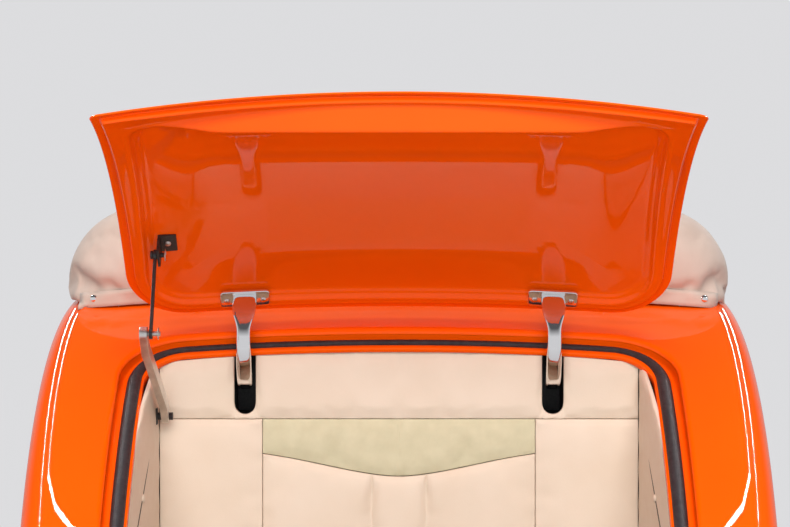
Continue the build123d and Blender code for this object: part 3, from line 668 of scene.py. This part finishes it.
def below_gap(u, w):
    """Distance from the middle pad's nearest edge."""
    length = insert_edge(u) - PAD_LOW
    return min(PAD_HALF - abs(u), w * length, (1 - w) * length)


CHANNEL = 0.0435
across = spaced(-PAD_HALF, -CHANNEL, COARSE)
across += spaced(-CHANNEL, CHANNEL, COARSE)[1:] + spaced(CHANNEL, PAD_HALF, COARSE)[1:]
up = spaced(0.0, 1.0, 0.03, (0.0028, 0.008, 0.016, 0.027))
middle_pad = sewn_pad(
    "front_pad_centre", across, up, below_insert, below_gap, PAD_PUFF, PAD_THICK, leather, PAD_SWELL,
    creases=(-CHANNEL, CHANNEL))
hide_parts("trim_pad_centre")

# Suede insert: a sage green panel let into the middle pad, sunk a little below the leather.
# It is suede over thin foam, with a level top edge and a lower edge that dips in the middle.
suede = finish_of(
    "sage_suede", (0.59, 0.535, 0.36), 0.9, more=(("Sheen Weight", 0.3), ("Sheen Roughness", 0.5)))
tint(suede, grain(suede, 34.0, detail=8.0), (0.55, 0.50, 0.33), (0.625, 0.57, 0.39))
relief(suede, grain(suede, 900.0), 0.3, 0.0005)
THIN_PAD = 0.0078


def insert_place(u, w):
    """A place on the suede insert, which is sunk below the leather."""
    low = insert_edge(u)
    return Vector((u, TRIM_FACE + INSERT_SINK, low + (SEAM - low) * w)), Vector((0.0, -1.0, 0.0))


def insert_gap(u, w):
    """Distance from the insert's nearest edge."""
    length = SEAM - insert_edge(u)
    return min(PAD_HALF - abs(u), w * length, (1 - w) * length)


insert = sewn_pad(
    "suede_insert", spaced(-PAD_HALF, 0.0, COARSE) + spaced(0.0, PAD_HALF, COARSE)[1:],
    spaced(0.0, 1.0, 0.12, (0.014, 0.045, 0.09, 0.15)), insert_place, insert_gap,
    0.0025, THIN_PAD, suede, 0.0025)
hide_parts("trim_insert")

# Side trims: leather boards that flare towards the tail, each with a slanted pocket slit, drawn as painted
# shade, and a button.
# The left one also has a dark block at the hole for the stay's driven shaft: a rim round the hole, and painted
# shade over the hole itself.
SIDE_FRONT, SIDE_REAR, SIDE_NEAR, SIDE_FLARE = -0.0055, -0.559283, 0.383, 0.057
SIDE_LIP_DEPTH, BOARD_END = 0.032, -0.452


def side_x(y):
    """How far out the side trim's face stands at a place along the car."""
    return SIDE_NEAR + SIDE_FLARE * (SIDE_FRONT - y) / (SIDE_FRONT - SIDE_REAR)


def side_height(y):
    """Height of the body's underside over the side trim."""
    return body_height(side_x(y), y, SIDE_LIP_DEPTH)


def domed_cap(name, centre, turn, radius, height, made, body, segments=20, slot=0.0):
    """A small domed cap, such as a button, a bolt head or a snap, with a screw's slot where it has one."""
    bm = bmesh.new()
    bmesh.ops.create_uvsphere(bm, u_segments=segments, v_segments=12, radius=1.0)
    for vert in bm.verts:
        c = vert.co.copy()
        sunk = slot if abs(c.x) < 0.14 and c.z > 0.3 else 0.0
        vert.co = centre + turn @ Vector((c.x * radius, c.y * radius, c.z * height - sunk))
    bmesh.ops.recalc_face_normals(bm, faces=bm.faces)
    return add_piece(name, bm, made, body)


flare = SIDE_FLARE / (SIDE_FRONT - SIDE_REAR)
slant = math.hypot(1.0, flare)
SLIT_ENDS, SLIT_HALF, SLIT_DEEP = ((-0.078, 0.552), (-0.245, 0.372)), 0.0026, 0.0014
BUTTON_Y, BUTTON_Z = -0.138, 0.487
HOLE_Y, HOLE_Z = -0.025, 0.604
for name, side in (("left", -1), ("right", 1)):
    inward = Vector((-side / slant, -flare / slant, 0.0))

    def side_place(u, w):
        """A place on the side trim's face."""
        return Vector((side * side_x(u), u, PAD_LOW + (side_height(u) - PAD_LOW) * w)), inward

    def side_gap(u, w):
        """Distance from the side trim's nearest edge."""
        length = side_height(u) - PAD_LOW
        return min(u - BOARD_END, w * length, (1 - w) * length)

    board = sewn_pad(
        "side_board_" + name, spaced(BOARD_END, SIDE_FRONT, 0.014),
        spaced(0.0, 1.0, 0.028, (0.003, 0.008, 0.016, 0.026)),
        side_place, side_gap, PAD_PUFF, 0.0085, leather, 0.0012)
    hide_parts("trim_side_" + name)
    # The slit is a flattened lump in dark board paint laid just off the leather: painted shade in place of the
    # shadow inside the slit.
    bm = bmesh.new()
    bmesh.ops.create_uvsphere(bm, u_segments=12, v_segments=8, radius=1.0)
    ends = [Vector((side * side_x(y), y, z)) + inward * 0.0006 for y, z in SLIT_ENDS]
    run = (ends[1] - ends[0]) / 2
    cross = run.normalized().cross(inward)
    for vert in bm.verts:
        c = vert.co.copy()
        vert.co = (ends[0] + ends[1]) / 2 + run * c.z + cross * c.x * SLIT_HALF + inward * c.y * SLIT_DEEP
    bmesh.ops.recalc_face_normals(bm, faces=bm.faces)
    slit = add_piece("pocket_slit_shade_" + name, bm, board_paint, "tail")
    centre = Vector((side * side_x(BUTTON_Y), BUTTON_Y, BUTTON_Z)) + inward * 0.002
    turn = inward.to_track_quat("Z", "Y").to_matrix()
    button = domed_cap("pocket_button_" + name, centre, turn, 0.0065, 0.0032, leather, "tail")
    if side < 0:
        # The dark block in board paint covers the shaft's hole: a rim round it, and painted shade where the
        # hole's dark inside would show.
        bm = bmesh.new()
        bmesh.ops.create_cube(bm, size=1.0)
        hole = Vector((side * side_x(HOLE_Y), HOLE_Y, HOLE_Z))
        for vert in bm.verts:
            c = vert.co
            vert.co = hole + inward * (c.x * 0.003 + 0.0004) + Vector((0.0, c.y * 0.018, c.z * 0.026))
        bmesh.ops.bevel(
            bm, geom=bm.edges[:], offset=0.0008, segments=2, profile=0.5, affect="EDGES", material=-1)
        shaft_hole = add_piece("shaft_hole_rim_and_shade", bm, board_paint, "tail", smooth=False)

# Tail lining and carpet: leather on a curved board below the opening, and cut-pile carpet on the floor.
# The lining follows the tail's curve inside, and the carpet runs from it to the front pads.
LINING_TOP, LINING_HALF, LINING_DEPTH = 0.320, 0.389, 0.054


def lining_place(u, w):
    """A place on the lining's inner face, and the way it looks."""
    theta = math.acos((w - AXIS_Z) / (SWEEP - LINING_DEPTH))
    lean = math.sin(theta)
    hub = MAJOR + (SWEEP - LINING_DEPTH) * lean
    at = math.asin(u / hub)
    outward = Vector((-lean * math.sin(at), lean * math.cos(at), -math.cos(theta)))
    return Vector((u, SWING - hub * math.cos(at), w)), outward


lining = sewn_pad(
    "tail_lining", spaced(-LINING_HALF, LINING_HALF, 0.018), spaced(PAD_LOW, LINING_TOP, 0.016), lining_place,
    lambda u, w: min(LINING_HALF - abs(u), w - PAD_LOW, LINING_TOP - w), PAD_PUFF, THIN_PAD, leather, 0.002)
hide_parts("trim_tail_lining")

carpet = finish_of("beige_carpet", (0.50, 0.38, 0.275), 0.95)
tint(carpet, grain(carpet, 340.0), (0.42, 0.315, 0.225), (0.60, 0.46, 0.34))
relief(carpet, grain(carpet, 500.0), 0.8, 0.003)
CARPET_TOP, CARPET_HALF, CARPET_DEPTH, CARPET_FRONT = 0.0603, 0.3815, 0.055, 0.0055


def carpet_rear(u):
    """Where the carpet stops at the tail lining."""
    hub = MAJOR + math.sqrt((SWEEP - CARPET_DEPTH) ** 2 - (CARPET_TOP - AXIS_Z) ** 2)
    return SWING - math.sqrt(hub ** 2 - u * u)


def carpet_place(u, w):
    """A place on the carpet, between the tail lining and the front pads."""
    y = carpet_rear(u) + (CARPET_FRONT - carpet_rear(u)) * w
    return Vector((u, y, CARPET_TOP)), Vector((0.0, 0.0, 1.0))


pile = sewn_pad(
    "pile_carpet", spaced(-CARPET_HALF, CARPET_HALF, 0.014),
    spaced(0.0, 1.0, 0.026, (0.003, 0.008, 0.014, 0.022)), carpet_place,
    lambda u, w: min(CARPET_HALF - abs(u), 0.5 * w, 0.5 * (1 - w)), PAD_PUFF, THIN_PAD, carpet, 0.0)
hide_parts("boot_carpet")

# Lid: an outer skin hemmed round a pressed inner panel, both steel in body colour.
# The panel has a rim, a ridge, a shallow dish and a flange behind the lid's lip. Both pieces are
# drawn shut on the body's surface, and then lifted about the hinge pins.
OPEN = math.radians(74.0)
PIVOT = Vector((0.0, 0.045, 0.722))
HINGE_SEAM, SPINE_HALF = 0.003, 0.135
lift = Matrix.Translation(PIVOT) @ Matrix.Rotation(-OPEN, 4, "X") @ Matrix.Translation(-PIVOT)
rings = []
for inset, depth in (
    (0.024, 0.0034), (0.012, 0.0034), (0.0075, 0.0034), (0.0064, 0.0031), (0.006, 0.0024), (0.006, 0.0012),
    (0.0064, 0.0004), (0.0075, 0.0), (0.010, 0.0), (0.016, 0.0), (0.026, 0.0), (0.042, 0.0), (0.065, 0.0),
    (0.090, 0.0), (0.12, 0.0), (0.15, 0.0), (0.18, 0.0), (0.21, 0.0), (0.24, 0.0), (0.265, 0.0), (0.285, 0.0),
):
    rings.append([on_body(x, v, depth) for x, v in opening(inset, inset + HINGE_SEAM)])
middle = (LID_FRONT + LID_REAR - HINGE_SEAM) / 2
spine = lid_loop(SPINE_HALF, middle + 1e-5, middle - 1e-5, 1e-6, 1e-6)
rings.append([on_body(x, v, 0.0) for x, v in spine])
bm, _ = rings_to_mesh(rings)
bmesh.ops.remove_doubles(bm, verts=bm.verts, dist=0.00005)
face_outward(bm, (0.0, 0.0, 0.2))
bmesh.ops.transform(bm, matrix=lift, verts=bm.verts)
lid_outer = add_piece("lid_outer_skin", bm, paint, "lid")
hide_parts("lid_skin")

DISH_FRONT, DISH_REAR = LID_FRONT - 0.021 - 0.020, LID_REAR + 0.018 + 0.037
DISH_HALF, DISH_WIDER, DISH_LEVEL, DISH_TILT = 0.420 - 0.037, 0.017, 0.37, 0.026
DISH_ROUND, DISH_REAR_ROUND = 0.070, 0.045


def blend_up(one, other, soft):
    """The larger of two depths, with the corner between them rounded."""
    top = max(one, other)
    return top + soft * math.log(math.exp((one - top) / soft) + math.exp((other - top) / soft))


def panel_depth(x, v, inset):
    """How far the inner panel lies under the lid's outer face: rim, ridge, dish and the bar behind the lip."""
    along = (v - DISH_REAR) / (DISH_FRONT - DISH_REAR)
    dx = DISH_HALF + DISH_WIDER * along - abs(x)
    to_front, to_rear = DISH_FRONT - v, v - DISH_REAR
    dv = min(to_front, to_rear)
    corner = DISH_ROUND if to_front < to_rear else DISH_REAR_ROUND
    inside = min(dx, dv)
    if dx < corner and dv < corner:
        inside = corner - math.hypot(corner - dx, corner - dv)
    rim = 0.0036 + 0.0104 * ease(inset, 0.018, 0.023)
    rim += 0.0016 * math.exp(-((inside + 0.004) / 0.0035) ** 2)
    dish = rim + (0.0100 - rim) * ease(inside, -0.002, 0.004)
    dish = dish + (0.0065 - dish) * ease(inside, 0.005, 0.014)
    slope = math.radians(20.0 + 42.0 * (LID_FRONT - v) / (LID_FRONT - LID_REAR))
    hub = MAJOR + SWEEP * math.sin(slope)
    level = math.sin(slope) * max(DISH_LEVEL ** 2 - x * x, 0.0) / (2 * hub)
    edge = min(dx, to_front)
    if dx < DISH_ROUND and to_front < DISH_ROUND:
        edge = DISH_ROUND - math.hypot(DISH_ROUND - dx, DISH_ROUND - to_front)
    dish += (level + DISH_TILT * max(to_front, 0.0)) * ease(edge, -0.01, 0.14)
    lip_run = (v - LID_REAR) / math.cos(math.radians(62.0) - DRAW)
    flange = 0.0035 + (lip_run - 0.024) * 0.0425 / 0.042 - 0.883 * x * x / (2 * 2.028)
    flange = blend_up(rim, flange, 0.0012)
    return -blend_up(-dish, -flange, 0.0014)


rings = []
insets = [0.0178, 0.0182, 0.019, 0.0205, 0.0225, 0.025]
while insets[-1] < 0.112:
    insets.append(insets[-1] + 0.0026)
insets += [0.118, 0.126, 0.137, 0.15, 0.166, 0.184, 0.203, 0.222, 0.241, 0.26, 0.278, 0.291]
for inset in insets:
    rings.append([on_body(x, v, panel_depth(x, v, inset)) for x, v in opening(inset, inset + HINGE_SEAM)])
rings.append([on_body(x, v, panel_depth(x, v, 0.3)) for x, v in spine])
bm, _ = rings_to_mesh(rings)
bmesh.ops.remove_doubles(bm, verts=bm.verts, dist=0.00005)
face_outward(bm, (0.0, 0.2, 2.5))
bmesh.ops.transform(bm, matrix=lift, verts=bm.verts)
lid_panel = add_piece("lid_pressed_panel", bm, paint, "lid")
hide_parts("lid_inner_panel")

# Gooseneck arms: forged steel blades that swing out over the seal, polished and chromed.
# Each has an eye on its pin and a plate held to the lid's rim by two oval screws.
chrome = finish_of("polished_chrome", (0.82, 0.82, 0.83), 0.06, 1.0)
tint(chrome, grain(chrome, 80.0), 0.04, 0.10, socket="Roughness")
ARM_RADIUS, ARM_HALF_THICK = 0.0825, 0.006
ARM_TOP, ARM_FOOT, ARM_STEPS, ARM_POINTS = -64.0, 66.0, 44, 28
PLATE_V, PLATE_LENGTH, PLATE_WIDTH, PLATE_ROUND = 0.2648, 0.034, 0.080, 0.008
SPOKE_WIDTH, SPOKE_LENGTH, SPOKE_THICK, SPOKE_TURN = 0.021, 0.078, 0.012, 60.0
EYE_RADIUS, EYE_WIDTH, SCREW_X, SCREW_V, SCREW_DEPTH = 0.010, 0.0236, 0.0288, PLATE_V + 0.002, 0.0183


def arm_half(z):
    """Half the arm's width at a height: broad at the plate, slim at the neck, even below."""
    return 0.0108 + 0.0085 * ease(z, 0.738, 0.778) + 0.0012 * ease(0.74 - z, 0.0, 0.04)


for name, side in (("left", -1), ("right", 1)):
    root = PIVOT + Vector((side * SLOT_X, 0.0, 0.0))
    rings = []
    for step in range(ARM_STEPS + 1):
        b = math.radians(ARM_TOP + (ARM_FOOT - ARM_TOP) * step / ARM_STEPS)
        foot = min(1.0, math.sqrt(max(1 - max((step - 41) / 3.2, 0.0) ** 2, 0.02)))
        half = arm_half(PIVOT.z - ARM_RADIUS * math.sin(b)) * foot
        ring = []
        for i in range(ARM_POINTS):
            a = 2 * math.pi * i / ARM_POINTS
            wide = math.copysign(abs(math.cos(a)) ** 0.55, math.cos(a)) * half
            deep = math.copysign(abs(math.sin(a)) ** 0.75, math.sin(a)) * ARM_HALF_THICK * foot
            r = ARM_RADIUS + deep
            ring.append(root + Vector((wide, -r * math.cos(b), -r * math.sin(b))))
        rings.append(ring)
    bm, last = rings_to_mesh(rings)
    bmesh.ops.contextual_create(bm, geom=last)
    first = [v for v in bm.verts if v.is_boundary]
    bmesh.ops.contextual_create(bm, geom=first)
    spoke = bmesh.ops.create_cube(bm, size=1.0)["verts"]
    spoke_turn = Matrix.Rotation(math.radians(SPOKE_TURN), 3, "X")
    for vert in spoke:
        c = vert.co.copy()
        flat = Vector((c.x * SPOKE_WIDTH, (c.y - 0.5) * SPOKE_LENGTH, c.z * SPOKE_THICK))
        vert.co = root + spoke_turn @ flat
    around = Matrix.Translation(root) @ Matrix.Rotation(math.pi / 2, 4, "Y")
    bmesh.ops.create_cone(
        bm, cap_ends=True, segments=32, radius1=EYE_RADIUS, radius2=EYE_RADIUS, depth=EYE_WIDTH, matrix=around)
    bmesh.ops.recalc_face_normals(bm, faces=bm.faces)
    arm = add_piece("gooseneck_" + name, bm, chrome, "lid")

    rings = []
    for shrink, depth in (
        (0.0, 0.0138), (0.0, 0.0168), (0.0003, 0.0175), (0.001, 0.0181),
        (0.0022, 0.0183), (0.006, 0.0184), (0.012, 0.0184), (0.0165, 0.0184),
    ):
        loop = []
        for sx, sv, start in ((1, 1, 0), (-1, 1, 90), (-1, -1, 180), (1, -1, 270)):
            radius = max(PLATE_ROUND - shrink, 0.0004)
            for i in range(9):
                a = math.radians(start + 90.0 * i / 8)
                x = sx * (PLATE_WIDTH / 2 - shrink - radius) + radius * math.cos(a)
                v = sv * (PLATE_LENGTH / 2 - shrink - radius) + radius * math.sin(a)
                loop.append(on_body(side * SLOT_X + x, PLATE_V + v, depth))
        rings.append(loop)
    bm, last = rings_to_mesh(rings)
    bmesh.ops.contextual_create(bm, geom=last)
    bmesh.ops.remove_doubles(bm, verts=bm.verts, dist=0.00005)
    bmesh.ops.recalc_face_normals(bm, faces=bm.faces)
    bmesh.ops.transform(bm, matrix=lift, verts=bm.verts)
    face_outward(bm, lift @ on_body(side * SLOT_X, PLATE_V, 0.0))
    plate = add_piece("hinge_plate_" + name, bm, chrome, "lid")
    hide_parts("hinge_arm_" + name)
    for spot, x in (("in", -SCREW_X), ("out", SCREW_X)):
        centre = on_body(side * SLOT_X + x, SCREW_V, SCREW_DEPTH)
        below = on_body(side * SLOT_X + x, SCREW_V, SCREW_DEPTH + 0.010) - centre
        turn = lift.to_3x3() @ below.to_track_quat("Z", "Y").to_matrix()
        screw = domed_cap(
            "plate_screw_" + name + "_" + spot, lift @ centre, turn, 0.0052, 0.0024, chrome, "lid", 24, 0.0009)

# Power stay: an angle bracket screwed to the lid, a thin rod link and a bent flat bar on a driven shaft.
# The bracket and link are blacked, the bar is brushed, and spring clips hold both pins.
def rounded_copy(name, node, width, made, body):
    """A copy of a CAD node with its edges broken."""
    bm = bmesh.new()
    bm.from_mesh(nodes[node].data)
    bmesh.ops.remove_doubles(bm, verts=bm.verts, dist=0.00002)
    bmesh.ops.dissolve_limit(bm, angle_limit=math.radians(2.0), verts=bm.verts, edges=bm.edges)
    sharp = [e for e in bm.edges if len(e.link_faces) == 2 and e.calc_face_angle() > math.radians(35.0)]
    bmesh.ops.bevel(
        bm, geom=sharp, offset=width, segments=2, profile=0.5, affect="EDGES", clamp_overlap=True, material=-1)
    piece = add_piece(name, bm, made, body, smooth=False)
    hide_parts(node)
    return piece


rounded_copy("lid_bracket", "stay_lid_bracket", 0.0006, black_steel, "lid")
rounded_copy("stay_rod", "stay_link", 0.0005, black_steel, "stay_link")
rounded_copy("stay_bar", "stay_arm", 0.0008, bright_steel, "stay_arm")
dress("stay_drive_mount", black_steel)
BOLT_X, BOLT_V, BOLT_DEPTH = -0.3605, 0.1326, 0.0108
centre = on_body(BOLT_X, BOLT_V, BOLT_DEPTH)
below = on_body(BOLT_X, BOLT_V, BOLT_DEPTH + 0.010) - centre
turn = lift.to_3x3() @ below.to_track_quat("Z", "Y").to_matrix()
bolt = domed_cap("bracket_bolt", lift @ centre, turn, 0.0055, 0.003, bright_steel, "lid")


CLIP_RADIUS, CLIP_WIRE = 0.0055, 0.0009


def spring_clip(name, centre, body):
    """A hairpin of spring wire through the end of a pin."""
    bm = bmesh.new()
    stand = Matrix.Translation((CLIP_RADIUS, 0.0, 0.0)) @ Matrix.Rotation(math.pi / 2, 4, "X")
    section = bmesh.ops.create_circle(bm, segments=8, radius=CLIP_WIRE, matrix=stand)["verts"]
    bmesh.ops.spin(
        bm, geom=section + bm.edges[:], cent=(0.0, 0.0, 0.0), axis=(0.0, 0.0, 1.0), dvec=(0.0, 0.0, 0.0),
        angle=math.radians(300.0), steps=28, use_merge=False, use_duplicate=False)
    bmesh.ops.holes_fill(bm, edges=[e for e in bm.edges if e.is_boundary], sides=0)
    bmesh.ops.recalc_face_normals(bm, faces=bm.faces)
    for vert in bm.verts:
        c = vert.co.copy()
        vert.co = Vector(centre) + Vector((c.z, c.x, c.y * 1.5))
    clip = add_piece(name, bm, bright_steel, body)


spring_clip("lid_pin_clip", (-0.3625, -0.10774, 0.86201), "lid")
spring_clip("bar_pin_clip", (-0.3665, -0.17774, 0.74401), "stay_arm")

# Hood cover: tan canvas over the folded hood, gathered at the corners and snapped down along a bound hem.
# The canvas is held along its foot, and the folded hood below pushes it out into soft folds.
canvas = finish_of("tan_canvas", (0.54, 0.41, 0.345), 0.9, more=(("Sheen Weight", 0.2),))
tint(canvas, grain(canvas, 14.0, detail=6.0), (0.50, 0.375, 0.31), (0.585, 0.45, 0.38))
weave = canvas.node_tree
weave_place = weave.nodes.new("ShaderNodeTexCoord")
for direction in ("X", "Z"):
    wave = weave.nodes.new("ShaderNodeTexWave")
    wave.bands_direction = direction
    wave.inputs["Scale"].default_value = 380.0
    weave.links.new(weave_place.outputs["Object"], wave.inputs["Vector"])
    relief(canvas, wave.outputs["Fac"], 0.12, 0.0004)
FOOT_BAND, FOOT_HALF, CANVAS_LOOSE = 0.02, 0.5, 0.012
bm = bmesh.new()
bm.from_mesh(nodes["hood_cover"].data)
bmesh.ops.remove_doubles(bm, verts=bm.verts, dist=0.00005)
cover = add_piece("canvas_cover", bm, canvas, "tail")
remesh = cover.modifiers.new("remesh", "REMESH")
remesh.mode = "VOXEL"
remesh.voxel_size = 0.012
shaped = bpy.data.meshes.new_from_object(cover.evaluated_get(bpy.context.evaluated_depsgraph_get()))
cover.modifiers.clear()
cover.data = shaped
cover.data.name = "canvas_cover"
if not cover.data.materials:
    cover.data.materials.append(canvas)
low_side = []
for vert in cover.data.vertices:
    foot = under_gutter(min(abs(vert.co.x), FOOT_HALF), 0.0) + FOOT_BAND
    if vert.co.z < foot or vert.normal.z < -0.5:
        low_side.append(vert.index)
for vert in cover.data.vertices:
    vert.co -= vert.normal * 0.001
swell(
    cover, low_side, CANVAS_LOOSE, push=6.0, frames=24,
    mass=0.3, stiff=20.0, bend=0.15, shrink=-0.07, weight=0.1)
for face in cover.data.polygons:
    face.use_smooth = True
soften = cover.modifiers.new("soften", "SUBSURF")
soften.levels = soften.render_levels = 1
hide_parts("hood_cover")


def deck_height(x, y):
    """Height of the body's top over a place on the deck or shoulder."""
    over = max(abs(x) - HALF + SHOULDER, 0.0)
    return body_height(x, y) - SHOULDER + math.sqrt(max(SHOULDER ** 2 - over ** 2, 0.0))


cloth_tree = BVHTree.FromObject(cover, bpy.context.evaluated_depsgraph_get())
HEM_HALF, HEM_HEIGHT, HEM_Y, HEM_LIFT = 0.535, 0.026, 0.165, 0.004


def canvas_at(x, z):
    """Point on the cover's rear face."""
    hit = cloth_tree.ray_cast(Vector((x, -0.3, z)), Vector((0.0, 1.0, 0.0)), 0.7)[0]
    return hit if hit else Vector((x, 0.172, z))


bm = bmesh.new()
grid = bmesh.ops.create_grid(bm, x_segments=120, y_segments=4, size=1.0)["verts"]
for vert in grid:
    x = vert.co.x * HEM_HALF
    deck = deck_height(x, HEM_Y)
    z = deck + HEM_LIFT + HEM_HEIGHT * (vert.co.y + 1) / 2
    spot = canvas_at(x, max(z, deck + 0.014))
    swag = 0.0018 * math.sin(x * 61.0) * (1 - vert.co.y) / 2
    vert.co = (x, spot.y - 0.0022 - swag * 0.5, z)
face_outward(bm, (0.0, 0.3, 0.8))
hem = add_piece("cover_hem", bm, canvas, "tail")
binding = hem.modifiers.new("binding", "SOLIDIFY")
binding.thickness = 0.0024
binding.offset = 0.0

# Snap fasteners: small domed caps in chromed brass, pressed through the hem.
# Seven of them, evenly spaced, hold the cover down.
SNAP_STEP, SNAP_LIFT = 0.17, 0.019
rearward = Matrix(((1.0, 0.0, 0.0), (0.0, 0.0, 1.0), (0.0, 1.0, 0.0)))
for index in range(7):
    x = (index - 3) * SNAP_STEP
    z = deck_height(x, HEM_Y) + SNAP_LIFT
    centre = Vector((x, canvas_at(x, z).y - 0.0036, z))
    snap = domed_cap("hem_snap_" + str(index + 1), centre, rearward, 0.0062, 0.0026, chrome, "tail")
